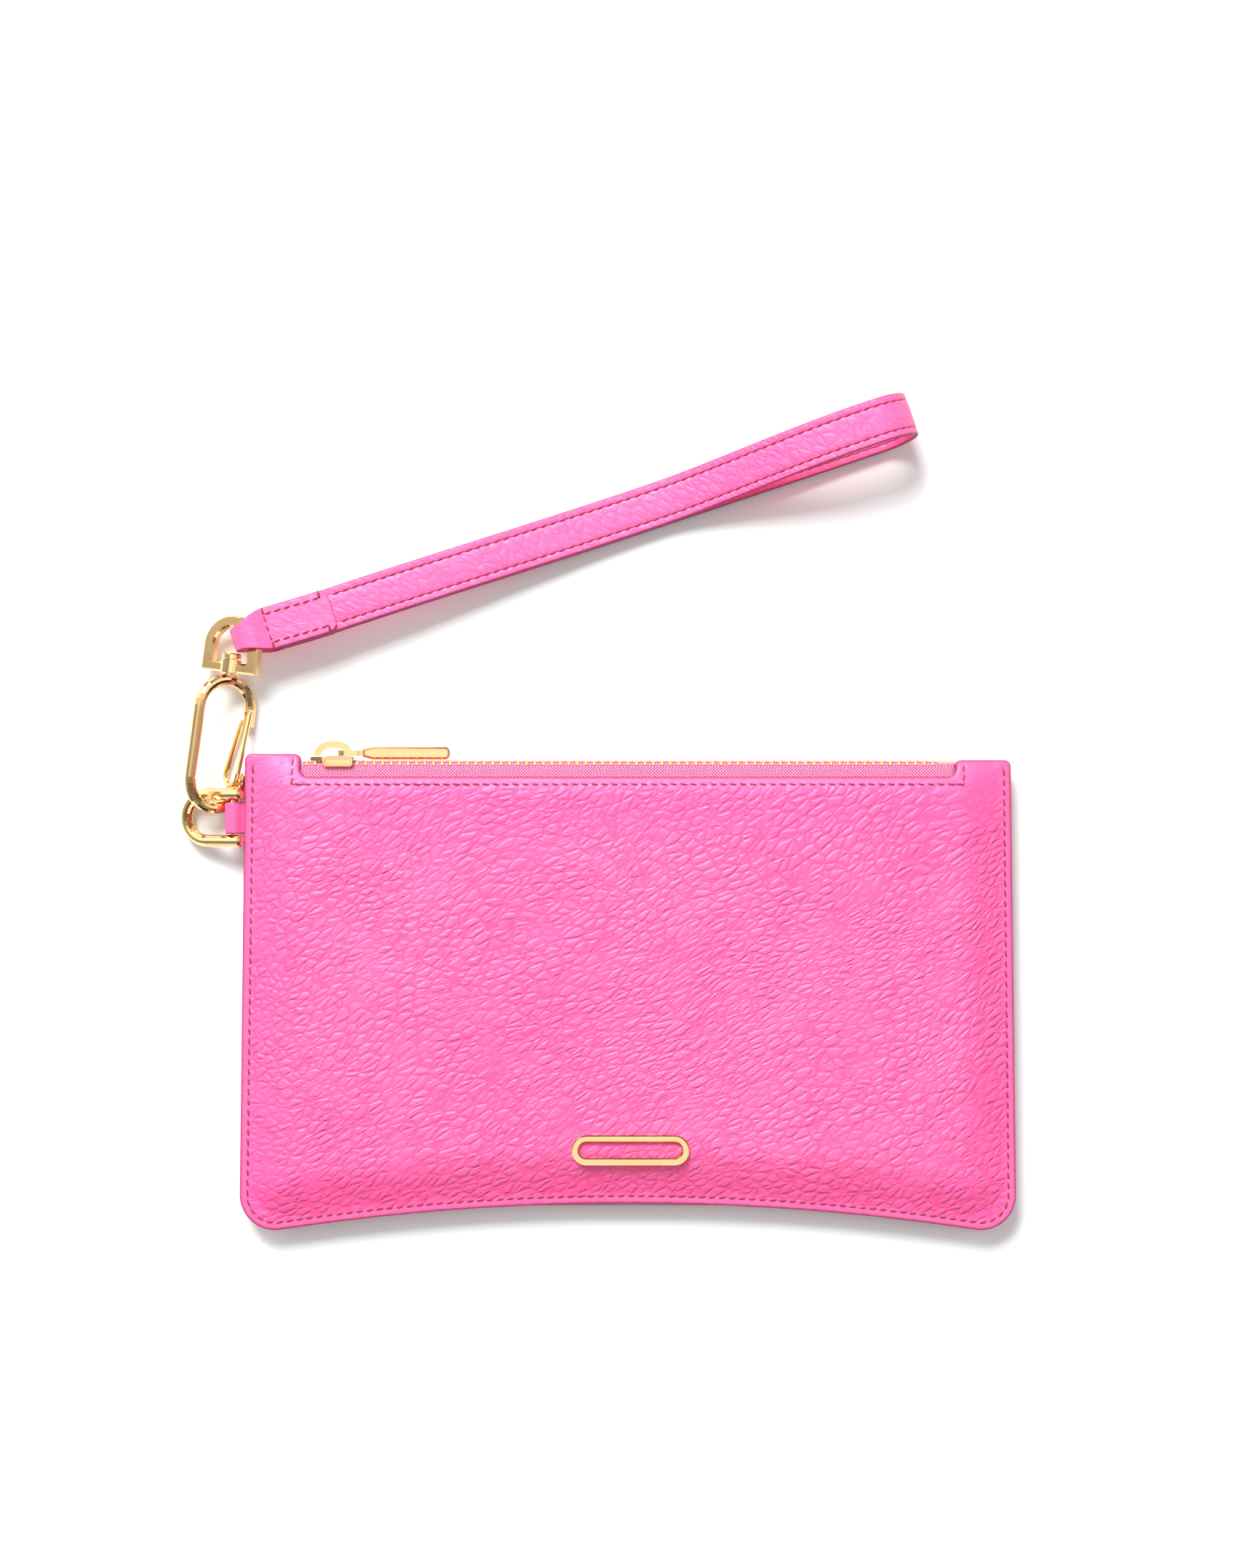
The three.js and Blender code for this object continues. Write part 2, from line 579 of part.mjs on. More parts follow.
function buildPuller(puller) {
  const middle = PULL_LOW_Y + PULL_HEIGHT / 2;
  const rise = ((middle - BRIDGE_Y) / BRIDGE_HEIGHT) ** BRIDGE_SQUARENESS;
  const crossing = BRIDGE_X + BRIDGE_REACH * (1 - rise) ** (1 / BRIDGE_SQUARENESS);
  const holeStart = crossing - EYE_HOLE_LENGTH / 2 - EYE_PLAY;
  const holeEnd = holeStart + EYE_HOLE_LENGTH;
  const eyeEnd = holeEnd + NECK_LENGTH;
  const eye = roundedShape([
    [holeStart - EYE_WALL, -EYE_WIDTH / 2, EYE_CORNER],
    [holeEnd + EYE_SHOULDER, -EYE_WIDTH / 2, EYE_CORNER / 2],
    [eyeEnd + NECK_SUNK, -PULL_DEPTH / 4, 0],
    [eyeEnd + NECK_SUNK, PULL_DEPTH / 4, 0],
    [holeEnd + EYE_SHOULDER, EYE_WIDTH / 2, EYE_CORNER / 2],
    [holeStart - EYE_WALL, EYE_WIDTH / 2, EYE_CORNER],
  ]);
  eye.holes.push(roundedShape([
    [holeStart, -EYE_HOLE_WIDTH / 2, EYE_HOLE_CORNER],
    [holeEnd, -EYE_HOLE_WIDTH / 2, EYE_HOLE_CORNER],
    [holeEnd, EYE_HOLE_WIDTH / 2, EYE_HOLE_CORNER],
    [holeStart, EYE_HOLE_WIDTH / 2, EYE_HOLE_CORNER],
  ]));
  const half = EYE_THICKNESS / 2;
  const ring = toSolid(prism(eye, -middle - half, -middle + half).rotateX(Math.PI / 2));
  const bar = roundedShape([
    [eyeEnd, middle - PULL_START / 2, 0],
    [eyeEnd + PULL_TAPER, PULL_LOW_Y, PULL_NECK_RADIUS],
    [eyeEnd + PULL_LENGTH, PULL_LOW_Y, PULL_END_RADIUS],
    [eyeEnd + PULL_LENGTH, PULL_LOW_Y + PULL_HEIGHT, PULL_END_RADIUS],
    [eyeEnd + PULL_TAPER, PULL_LOW_Y + PULL_HEIGHT, PULL_NECK_RADIUS],
    [eyeEnd, middle + PULL_START / 2, 0],
  ]);
  const solid = ring.add(toSolid(bevelled(bar, -PULL_DEPTH / 2, PULL_DEPTH / 2, PULL_BEVEL)));
  addMesh(puller, 'zip_puller', toGeometry(solid), GOLD);
}

// ---------------------------------------------------------------- ornament

function stadium(length, height) {
  const radius = height / 2;
  const reach = length / 2 - radius;
  const shape = new THREE.Shape();
  shape.absarc(reach, 0, radius, -Math.PI / 2, Math.PI / 2, false);
  shape.absarc(-reach, 0, radius, Math.PI / 2, Math.PI * 1.5, false);
  shape.closePath();
  return shape;
}

function buildOrnament(pouch) {
  const front = POUCH_THICKNESS - SEAM_Z;
  const under = front - LEATHER;
  const ring = stadium(ORNAMENT_LENGTH, ORNAMENT_HEIGHT);
  const inner = 2 * ORNAMENT_STROKE;
  ring.holes.push(stadium(ORNAMENT_LENGTH - inner, ORNAMENT_HEIGHT - inner));
  const low = front + ORNAMENT_GAP;
  let solid = toSolid(bevelled(ring, low, low + ORNAMENT_THICKNESS, ORNAMENT_BEVEL, 10)
    .translate(ORNAMENT_X, ORNAMENT_Y, 0));
  const tip = under - WASHER_GAP - WASHER_THICKNESS;
  const root = low + RIVET_SUNK;
  for (const x of rivetXs()) {
    const post = cylinder(RIVET_RADIUS, root - tip, 12).rotateX(Math.PI / 2);
    solid = solid.add(toSolid(post.translate(x, ORNAMENT_Y, (root + tip) / 2)));
  }
  addMesh(pouch, 'ornament_ring', toGeometry(solid), GOLD);
  rivetXs().forEach((x, i) => {
    const disc = new THREE.Shape();
    disc.absarc(0, 0, WASHER_RADIUS, 0, Math.PI * 2, false);
    const hole = new THREE.Path();
    hole.absarc(0, 0, RIVET_RADIUS + RIVET_CLEARANCE, 0, Math.PI * 2, true);
    disc.holes.push(hole);
    const washer = prism(disc, tip, tip + WASHER_THICKNESS, 16).translate(x, ORNAMENT_Y, 0);
    addMesh(pouch, i ? 'ornament_washer_right' : 'ornament_washer_left', washer, GOLD);
  });
}

// ---------------------------------------------------------------- side tab and ring

function buildSideTab(root) {
  const bore = PIN_RADIUS + PIN_CLEARANCE;
  const outer = bore + TAB_LEATHER + TAB_EASE;
  const loopX = PIN_X - TAB_LOOP_PAST_PIN;
  const edgeX = -TOP_HALF - TAB_PAST_EDGE;
  const tail = TAB_LEATHER;
  const shape = new THREE.Shape();
  shape.moveTo(-TOP_HALF + TAB_DEPTH_IN_SEAM, SEAM_Z - tail);
  shape.lineTo(-TOP_HALF + TAB_DEPTH_IN_SEAM, SEAM_Z + tail);
  shape.lineTo(edgeX, SEAM_Z + tail);
  shape.lineTo(PIN_X + bore, PIN_Z + outer);
  shape.absarc(loopX, PIN_Z, outer, Math.PI / 2, Math.PI * 1.5, false);
  shape.lineTo(PIN_X + bore, PIN_Z - outer);
  shape.lineTo(edgeX, SEAM_Z - tail);
  shape.closePath();
  const slot = new THREE.Path();
  slot.absarc(loopX, PIN_Z, bore, Math.PI / 2, Math.PI * 1.5, false);
  slot.absarc(PIN_X, PIN_Z, bore, -Math.PI / 2, Math.PI / 2, false);
  slot.closePath();
  shape.holes.push(slot);
  addMesh(root, 'side_tab', acrossY(shape, TAB_WIDTH, 8).translate(0, TAB_Y, 0), PINK_LEATHER);
}

function buildRing(root) {
  const ring = new THREE.Group();
  ring.position.set(PIN_X, RING_Y, PIN_Z);
  ring.rotation.y = -RING_TILT;
  root.add(ring);
  const half = RING_WIDTH / 2;
  const bendX = -(RING_LENGTH - half);
  const heel = RING_HEEL - RING_HEEL_CHAMFER;
  const points = [
    new THREE.Vector3(heel, half, 0),
    ...arcPoints(bendX, 0, half, Math.PI / 2, Math.PI * 1.5, 16),
    new THREE.Vector3(heel, -half, 0),
  ];
  let wire = toSolid(roundWire(points, RING_WIRE, 14));
  const bore = PIN_RADIUS + PIN_CLEARANCE;
  for (const side of [-1, 1]) {
    const tip = RING_WIRE / 2 - RING_HEEL_CHAMFER;
    const cone = new THREE.CylinderGeometry(tip, RING_WIRE / 2, RING_HEEL_CHAMFER, 14);
    cone.rotateZ(-Math.PI / 2).translate(heel + RING_HEEL_CHAMFER / 2 - 0.01, side * half, 0);
    wire = wire.add(toSolid(cone));
  }
  const reach = half + PIN_CLEARANCE;
  wire = wire.subtract(toSolid(cylinder(bore, 2 * reach, 12)));
  addMesh(ring, 'd_ring', toGeometry(wire), GOLD);
  addMesh(ring, 'd_ring_pin', cylinder(PIN_RADIUS, 2 * (reach - PIN_CLEARANCE), 12), GOLD);
}

// ---------------------------------------------------------------- clip, gate and swivel

function clipFrameGeometry() {
  const radius = CLIP_WIDTH / 2;
  const straight = (CLIP_LENGTH - CLIP_WIDTH) / 2;
  const points = [
    new THREE.Vector3(radius, STUB_END, 0),
    ...arcPoints(0, straight, radius, 0, Math.PI, 16),
    ...arcPoints(0, -straight, radius, Math.PI, Math.PI * 2, 16),
    new THREE.Vector3(radius, NOSE_END, 0),
  ];
  const wireRadius = CLIP_WIRE / 2;
  let frame = toSolid(roundWire(points, CLIP_WIRE, 14));
  const knob = new THREE.SphereGeometry(KNOB_RADIUS, 14, 10);
  frame = frame.add(toSolid(knob.translate(radius, NOSE_END + KNOB_PAST_END, 0)));
  // milled flats, and the hole for the gate's pivot end
  const flatTop = GATE_PIVOT_Y + GATE_WIRE / 2 + STUB_SHOULDER;
  for (const side of [-1, 1]) {
    const low = Math.min(side * STUB_FLAT, side * 2 * wireRadius);
    const cut = box(
      radius - 2 * wireRadius, radius + 2 * wireRadius, STUB_END - 1, flatTop,
      low, low + 2 * wireRadius - STUB_FLAT,
    );
    frame = frame.subtract(toSolid(cut));
  }
  const hole = cylinder(GATE_PEG_RADIUS + GATE_CLEARANCE, 2 * STUB_FLAT, 12).rotateX(Math.PI / 2);
  hole.translate(GATE_PIVOT_X, GATE_PIVOT_Y, STUB_FLAT);
  frame = frame.subtract(toSolid(hole));
  // the stem that the swivel turns on
  const top = CLIP_LENGTH / 2;
  const stemEnd = HEAD_LOW + BOSS_HEIGHT + STEM_CLEARANCE + CAP_THICKNESS;
  const stem = cylinder(STEM_RADIUS, stemEnd - top, 14);
  return toGeometry(frame.add(toSolid(stem.translate(0, (stemEnd + top) / 2, 0))));
}

function gateGeometry() {
  const lift = STUB_FLAT + GATE_CLEARANCE + GATE_WIRE / 2;
  const footY = GATE_FOOT_Y + GATE_FOOT_RADIUS;
  const foot = arcPoints(0, 0, GATE_FOOT_RADIUS, 0, -Math.PI, 10).map(
    (p) => new THREE.Vector3(GATE_FOOT_X, footY + p.y, p.x),
  );
  const points = [
    new THREE.Vector3(GATE_PIVOT_X, GATE_PIVOT_Y, lift),
    ...foot,
    new THREE.Vector3(GATE_PIVOT_X, GATE_OTHER_END_Y, -lift),
  ];
  let wire = toSolid(roundWire(points, GATE_WIRE, 10));
  const ball = GATE_WIRE / 2;
  for (const end of [points[0], points[points.length - 1]]) {
    const cap = new THREE.SphereGeometry(ball, 10, 8).rotateX(Math.PI / 2);
    wire = wire.add(toSolid(cap.translate(end.x, end.y, end.z)));
  }
  const peg = cylinder(GATE_PEG_RADIUS, lift - PEG_TIP, 10).rotateX(Math.PI / 2);
  peg.translate(GATE_PIVOT_X, GATE_PIVOT_Y, (lift + PEG_TIP) / 2);
  return toGeometry(wire.add(toSolid(peg)));
}

function headGeometry() {
  const half = HEAD_WIDTH / 2;
  const low = HEAD_LOW;
  const archY = low + HEAD_HEIGHT - half;
  const outline = new THREE.Shape();
  outline.moveTo(-half, low);
  outline.lineTo(half, low);
  outline.lineTo(half, archY);
  outline.absarc(0, archY, half, 0, Math.PI, false);
  outline.closePath();
  const inner = half - HEAD_LEG;
  const hole = new THREE.Path();
  hole.moveTo(-inner, low + HEAD_BASE);
  hole.lineTo(inner, low + HEAD_BASE);
  hole.lineTo(inner, archY);
  hole.absarc(0, archY, inner, 0, Math.PI, false);
  hole.closePath();
  outline.holes.push(hole);
  const depth = HEAD_DEPTH / 2;
  let head = toSolid(bevelled(outline, -depth, depth, HEAD_BEVEL, 14));
  const boss = cylinder(BOSS_RADIUS, BOSS_HEIGHT, 18).translate(0, low + BOSS_HEIGHT / 2, 0);
  head = head.add(toSolid(boss));
  const bore = cylinder(STEM_RADIUS + STEM_CLEARANCE, 3 * BOSS_HEIGHT, 16);
  return toGeometry(head.subtract(toSolid(bore.translate(0, low + 0.5 * BOSS_HEIGHT, 0))));
}

function capGeometry() {
  const low = HEAD_LOW + BOSS_HEIGHT + STEM_CLEARANCE;
  const inner = STEM_RADIUS + STEM_CLEARANCE / 2;
  const profile = [
    new THREE.Vector2(inner, low),
    new THREE.Vector2(CAP_RADIUS, low),
    new THREE.Vector2(CAP_RADIUS, low + CAP_THICKNESS - CAP_BEVEL),
    new THREE.Vector2(CAP_RADIUS - CAP_BEVEL, low + CAP_THICKNESS),
    new THREE.Vector2(inner, low + CAP_THICKNESS),
    new THREE.Vector2(inner, low),
  ];
  return new THREE.LatheGeometry(profile, 18);
}

function buildClip(root) {
  const axis = new THREE.Group();
  axis.position.set(CLIP_X, CLIP_Y, CLIP_Z);
  axis.rotation.z = -CLIP_LEAN;
  root.add(axis);
  const clip = new THREE.Group();
  clip.rotation.y = CLIP_ROLL;
  axis.add(clip);
  addMesh(clip, 'clip_frame', clipFrameGeometry(), GOLD);
  addMesh(clip, 'clip_gate', gateGeometry(), GOLD);
  addMesh(clip, 'swivel_cap', capGeometry(), GOLD);
  const head = new THREE.Group();
  head.rotation.y = HEAD_ROLL;
  axis.add(head);
  addMesh(head, 'swivel_head', headGeometry(), GOLD);
  // the strap's tab sits on the arch's right shoulder
  const radius = (HEAD_WIDTH - HEAD_LEG) / 2;
  const archY = HEAD_LOW + HEAD_HEIGHT - HEAD_WIDTH / 2;
  const shoulder = new THREE.Vector3(
    radius * Math.cos(SHOULDER_ANGLE), archY + radius * Math.sin(SHOULDER_ANGLE), 0,
  );
  root.updateMatrixWorld(true);
  return head.localToWorld(shoulder);
}

// ---------------------------------------------------------------- wrist strap

const BAND = 2 * STRAP_PLY + PLY_GAP;
const BAND_MID = (BAND_GAP + BAND) / 2; // centre line of one end of the band, inside the tab

// Centre line of the whole band in x and z, from its lower end round the loop to its upper end.
function bandLine(rest) {
  const lean = (STRAP_WIDTH / 2) * Math.abs(Math.sin(STRAP_ROLL));
  const floor = -rest + BAND / 2 + lean + BAND_OFF_FLOOR;
  const top = -rest + LOOP_HEIGHT - BAND / 2;
  const radius = (top - floor) / 2;
  const bendX = STRAP_REACH - BAND / 2 - radius;
  const end = KEEPER_STITCH_X + BAND_START;
  const partX = STRAP_REACH * LOOP_START;
  const lying = floor + 2 * BAND_MID;
  const lower = new THREE.CubicBezierCurve(
    new THREE.Vector2(KEEPER_END_X, -BAND_MID),
    new THREE.Vector2(KEEPER_END_X + 26, -BAND_MID),
    new THREE.Vector2(partX * 0.72, floor),
    new THREE.Vector2(partX, floor),
  ).getPoints(16);
  const rising = new THREE.CubicBezierCurve(
    new THREE.Vector2(bendX - 4, top),
    new THREE.Vector2(bendX * 0.86, top),
    new THREE.Vector2(bendX * 0.74, lying),
    new THREE.Vector2(partX, lying),
  );
  const bend = arcPoints(bendX, floor + radius, radius, -Math.PI / 2, Math.PI / 2, 16);
  return [
    new THREE.Vector2(end, -BAND_MID),
    ...lower,
    ...bend.map((p) => new THREE.Vector2(p.x, p.y)),
    ...rising.getPoints(16),
    // from here the upper band lies on the lower one
    ...lower.slice(0, -1).reverse().map((p) => new THREE.Vector2(p.x, p.y + 2 * BAND_MID)),
    new THREE.Vector2(end, BAND_MID),
  ];
}

// A line beside another, at an even distance on its left.
function besideLine(line, distance) {
  return line.map((point, i) => {
    const before = line[Math.max(i - 1, 0)];
    const after = line[Math.min(i + 1, line.length - 1)];
    const along = after.clone().sub(before).normalize();
    return point.clone().add(new THREE.Vector2(-along.y, along.x).multiplyScalar(distance));
  });
}

function keeperGeometry() {
  const flat = BAND_MID + BAND / 2 + KEEPER_GAP + KEEPER_LEATHER / 2;
  const loopX = -KEEPER_LOOP_REACH + KEEPER_LOOP + KEEPER_LEATHER / 2;
  const loop = arcPoints(
    loopX, 0, KEEPER_LOOP, KEEPER_LOOP_OPEN, Math.PI * 2 - KEEPER_LOOP_OPEN, 20,
  );
  const inner = KEEPER_STITCH_X + KEEPER_BLEND;
  const outer = inner - KEEPER_BLEND - KEEPER_GAP;
  const line = [
    new THREE.Vector2(KEEPER_END_X, flat),
    new THREE.Vector2(inner, flat),
    new THREE.Vector2(outer, flat + KEEPER_RISE),
    ...loop.map((p) => new THREE.Vector2(p.x, p.y)),
    new THREE.Vector2(outer, -flat - KEEPER_RISE),
    new THREE.Vector2(inner, -flat),
    new THREE.Vector2(KEEPER_END_X, -flat),
  ];
  const wrap = toSolid(acrossY(stripShape(line, KEEPER_LEATHER), STRAP_WIDTH + 1));
  const fold = -KEEPER_LOOP_REACH - 1;
  const plan = roundedShape([
    [fold, -KEEPER_FOLD_WIDTH / 2, 0],
    [fold + FOLD_STRAIGHT, -KEEPER_FOLD_WIDTH / 2, 0],
    [KEEPER_STITCH_X, -KEEPER_WIDTH / 2, KEEPER_SHOULDER],
    [KEEPER_END_X, -KEEPER_WIDTH / 2, KEEPER_CORNER],
    [KEEPER_END_X, KEEPER_WIDTH / 2, KEEPER_CORNER],
    [KEEPER_STITCH_X, KEEPER_WIDTH / 2, KEEPER_SHOULDER],
    [fold + FOLD_STRAIGHT, KEEPER_FOLD_WIDTH / 2, 0],
    [fold, KEEPER_FOLD_WIDTH / 2, 0],
  ]);
  return toGeometry(wrap.intersect(toSolid(prism(plan, -10, 10))));
}

function buildStrap(root, shoulder) {
  const strap = new THREE.Group();
  strap.position.copy(shoulder);
  strap.rotation.set(STRAP_ROLL, 0, STRAP_TURN, 'ZYX');
  strap.translateY(STRAP_SHIFT);
  root.add(strap);
  addMesh(strap, 'strap_tab', keeperGeometry(), PINK_LEATHER);
  const line = bandLine(shoulder.z);
  const offset = (STRAP_PLY + PLY_GAP) / 2;
  const inner = stripShape(besideLine(line, offset), STRAP_PLY);
  const outer = stripShape(besideLine(line, -offset), STRAP_PLY);
  addMesh(strap, 'strap_inner_ply', acrossY(inner, STRAP_WIDTH), PINK_LEATHER);
  addMesh(strap, 'strap_outer_ply', acrossY(outer, STRAP_WIDTH), PINK_LEATHER);
}

// ---------------------------------------------------------------- assembly

const halves = new THREE.Group(); // everything that is placed from the seam's mid plane
halves.position.z = SEAM_Z;
group.add(halves);
buildPouch(halves);
buildZip(halves);
buildSlider(halves);
buildPuller(halves);
buildOrnament(halves);
buildSideTab(group);
buildRing(group);
buildStrap(group, buildClip(group));

export default group;
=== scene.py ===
import math

import bpy
import numpy as np
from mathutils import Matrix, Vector
from mathutils.geometry import delaunay_2d_cdt
from mathutils import noise as field


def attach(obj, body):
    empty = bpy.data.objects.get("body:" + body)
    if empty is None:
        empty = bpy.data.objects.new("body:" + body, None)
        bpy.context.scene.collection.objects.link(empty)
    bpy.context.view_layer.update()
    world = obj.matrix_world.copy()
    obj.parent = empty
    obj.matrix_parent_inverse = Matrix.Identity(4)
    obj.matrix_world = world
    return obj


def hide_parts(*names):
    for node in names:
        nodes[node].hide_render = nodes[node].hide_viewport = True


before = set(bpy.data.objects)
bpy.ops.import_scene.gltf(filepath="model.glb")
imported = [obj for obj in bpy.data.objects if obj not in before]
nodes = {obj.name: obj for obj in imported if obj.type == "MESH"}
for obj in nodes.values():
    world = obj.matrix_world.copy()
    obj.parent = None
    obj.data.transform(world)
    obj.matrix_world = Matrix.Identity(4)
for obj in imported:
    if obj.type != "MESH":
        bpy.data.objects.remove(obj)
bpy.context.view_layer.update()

# Lengths are millimetres in the row frame, but metres in materials, bevels and the studio.
MM = 0.001

# Pouch, as in the CAD source
TOP_HALF = 104.2
BOTTOM_HALF = 105.8
TOP_LEFT_Y = 65.0
TOP_RIGHT_Y = 63.3
CORNER_Y = -66.2
BOTTOM_Y = -57.3
BOTTOM_RADIUS = 630.0
LOWER_CORNER = 9.5
MOUTH_HALF = 89.3
MOUTH_Y = 58.7
EAR_CORNER = 1.6
MOUTH_CORNER = 2.6
SEAM_Z = 5.5
SEAM_GAP = 0.3
LEATHER = 1.3
RISE = 4.05
FLANGE = 3.0
SWELL_RUN = 13.0
SWELL_CORNER = 10
SWELL_PAST_MOUTH = 7.5

# ------------------------------------------------------------------ materials


class Nodes:
    """Short calls that add shader nodes to one tree."""

    def __init__(self, tree):
        self.tree = tree
        self.tree.nodes.clear()

    def node(self, kind, inputs=None, **settings):
        made = self.tree.nodes.new("ShaderNode" + kind)
        for key, value in settings.items():
            setattr(made, key, value)
        for key, value in (inputs or {}).items():
            if isinstance(value, bpy.types.NodeSocket):
                self.tree.links.new(value, made.inputs[key])
            else:
                made.inputs[key].default_value = value
        return made

    def math(self, operation, a, b=0.0):
        made = self.node("Math", {0: a, 1: b}, operation=operation)
        return made.outputs[0]

    def times(self, a, b):
        return self.math("MULTIPLY", a, b)

    def plus(self, a, b):
        return self.math("ADD", a, b)

    def minus(self, a, b):
        return self.math("SUBTRACT", a, b)

    def ramp(self, value, low, high, to_low=0.0, to_high=1.0):
        made = self.node(
            "MapRange",
            {0: value, 1: low, 2: high, 3: to_low, 4: to_high},
            interpolation_type="SMOOTHSTEP",
        )
        return made.outputs[0]


class Look(Nodes):
    """A node material built in a few calls."""

    def __init__(self, name):
        self.material = bpy.data.materials.new(name)
        self.material.use_nodes = True
        super().__init__(self.material.node_tree)

    def place(self):
        return self.node("TexCoord").outputs["Object"]

    def vector(self, operation, a, b):
        made = self.node("VectorMath", {0: a, 1: b}, operation=operation)
        return made.outputs[0]

    def scaled(self, vector, factor):
        made = self.node("VectorMath", {0: vector, "Scale": factor}, operation="SCALE")
        return made.outputs[0]

    def mapped(self, vector, rotation=(0, 0, 0), scale=(1, 1, 1)):
        made = self.node("Mapping", {0: vector, "Rotation": rotation, "Scale": scale})
        return made.outputs[0]

    def noise(self, vector, scale, detail=2.0, rough=0.5, colour=False):
        made = self.node(
            "TexNoise", {"Vector": vector, "Scale": scale, "Detail": detail, "Roughness": rough}
        )
        return made.outputs["Color" if colour else 0]

    def cells(self, vector, scale, random=1.0):
        """Distance to the nearest edge between cells."""
        made = self.node(
            "TexVoronoi",
            {"Vector": vector, "Scale": scale, "Randomness": random},
            feature="DISTANCE_TO_EDGE",
        )
        return made.outputs["Distance"]

    def mix(self, factor, a, b):
        made = self.node("Mix", {0: factor, 6: a, 7: b}, data_type="RGBA")
        return made.outputs[2]

    def attribute(self, name):
        return self.node("Attribute", attribute_name=name).outputs["Fac"]

    def bump(self, height, distance):
        made = self.node("Bump", {"Height": height, "Distance": distance, "Strength": 1.0})
        return made.outputs[0]

    def finish(self, **inputs):
        names = {"colour": "Base Color", "metal": "Metallic", "rough": "Roughness",
                 "normal": "Normal", "specular": "Specular IOR Level",
                 "sheen": "Sheen Weight", "sheen_rough": "Sheen Roughness"}
        shader = self.node("BsdfPrincipled", {names[k]: v for k, v in inputs.items()})
        self.node("OutputMaterial", {0: shader.outputs[0]})
        return self.material


PINK = (0.96, 0.123, 0.352, 1)
PINK_DEEP = (0.84, 0.056, 0.21, 1)
PINK_PALE = (1.0, 0.182, 0.425, 1)
# deeper pink for painted shade on slopes turned from the light and along the seams
PINK_PAINTED_SHADE = (1.0, 0.078, 0.34, 1)
# darker pink for painted shade in the creases
PINK_CREASE_SHADE = (0.94, 0.050, 0.23, 1)
EDGE_PAINT = (0.36, 0.035, 0.14, 1)


def leather_look(name, across=2.0, flow=29.0, depth=0.00042, stretch=0.46):
    """Pebbled leather: cells across mm wide, drawn out along flow degrees up from +X.

    The mesh's attributes steer it: calm flattens the grain, paint is the edge dressing and
    shade is painted shade, a deeper pink on slopes turned from the light and along the seams.
    """
    look = Look(name)
    at = look.place()
    calm = look.attribute("calm")
    paint = look.attribute("paint")
    shade = look.attribute("shade")
    half = (0.5, 0.5, 0.5)
    drift = look.scaled(look.vector("SUBTRACT", look.noise(at, 15, 1, 0.4, True), half), 0.020)
    wander = look.vector("ADD", at, drift)
    fine = look.scaled(look.vector("SUBTRACT", look.noise(at, 330, 2, 0.5, True), half), 0.0006)
    wobbly = look.vector("ADD", wander, fine)
    turned = look.mapped(wobbly, (0, 0, -math.radians(flow)))
    scale = 1000 / across
    large = look.cells(look.mapped(turned, (0, 0, 0), (stretch, 1, 1)), scale, 0.85)
    crossing = look.mapped(turned, (0, 0, 0.5), (1, 1, 1))
    small = look.cells(look.mapped(crossing, (0, 0, 0), (0.5, 1, 1)), scale * 1.7)
    fold = look.noise(look.mapped(turned, (0, 0, 0), (0.16, 1, 1)), scale * 0.42, 1)
    fold = look.math("ABSOLUTE", look.minus(fold, 0.5))
    crease = look.ramp(fold, 0.0, 0.030, 1.0, 0.0)
    bold = look.ramp(look.noise(at, 90, 2), 0.30, 0.56, 0.5, 1.0)
    pillow = look.ramp(large, 0.0, 0.30)
    lesser = look.ramp(small, 0.0, 0.2)
    patch = look.ramp(look.noise(at, 55, 2), 0.42, 0.66, 0.1, 1.0)
    pores = look.noise(at, 2600, 3, 0.6)
    height = look.times(look.times(pillow, bold), 0.62)
    lesser = look.times(lesser, look.times(patch, 0.14))
    height = look.plus(height, lesser)
    height = look.minus(height, look.times(crease, 0.20))
    height = look.plus(height, look.times(look.noise(wander, 200, 2), 0.30))
    quiet = look.minus(1.0, look.times(calm, 0.88))
    height = look.times(height, quiet)
    height = look.plus(height, look.times(pores, 0.035))
    # painted shade: the creases and the valleys between the pebbles are coloured a darker pink
    valley = look.times(look.ramp(large, 0.0, 0.10, 1.0, 0.0), bold)
    valley = look.math("MAXIMUM", valley, look.times(crease, 0.7))
    dark = look.times(valley, quiet)
    colour = look.mix(look.ramp(look.noise(at, 34, 3), 0.3, 0.75, 0.0, 0.35), PINK, PINK_PALE)
    colour = look.mix(look.times(dark, 0.6), colour, PINK_CREASE_SHADE)
    # painted shade: slopes turned from the light and the seam grooves take the deeper pink
    colour = look.mix(shade, colour, PINK_PAINTED_SHADE)
    speck = look.ramp(look.noise(at, 1700, 2), 0.52, 0.75, 0.0, 0.10)
    colour = look.mix(speck, colour, PINK_DEEP)
    colour = look.mix(look.times(paint, 0.92), colour, EDGE_PAINT)
    rough = look.ramp(look.noise(at, 900, 2), 0.3, 0.7, 0.40, 0.52)
    rough = look.plus(rough, look.times(dark, 0.1))
    return look.finish(
        colour=colour, rough=rough, normal=look.bump(height, depth), specular=0.45,
        sheen=0.03, sheen_rough=0.4,
    )


def gold_look(name, colour=(0.97, 0.63, 0.29, 1), rough=0.10, polish=0.000002):
    look = Look(name)
    at = look.place()
    cloud = look.noise(at, 190, 3)
    tone = look.mix(look.ramp(cloud, 0.35, 0.7), colour, (0.99, 0.68, 0.35, 1))
    worn = look.ramp(look.noise(at, 900, 4, 0.7), 0.62, 0.8, 0.0, 0.04)
    roughness = look.plus(look.ramp(cloud, 0.3, 0.7, rough, rough + 0.06), worn)
    grain = look.noise(look.mapped(at, (0, 0, 0.4), (0.35, 1, 1)), 1500, 3)
    return look.finish(colour=tone, metal=1.0, rough=roughness, normal=look.bump(grain, polish))


RIB_PITCH = 0.00085
WARP_PITCH = 0.0005
HERRINGBONE = 0.0014
WEAVE_PITCH = 0.0006


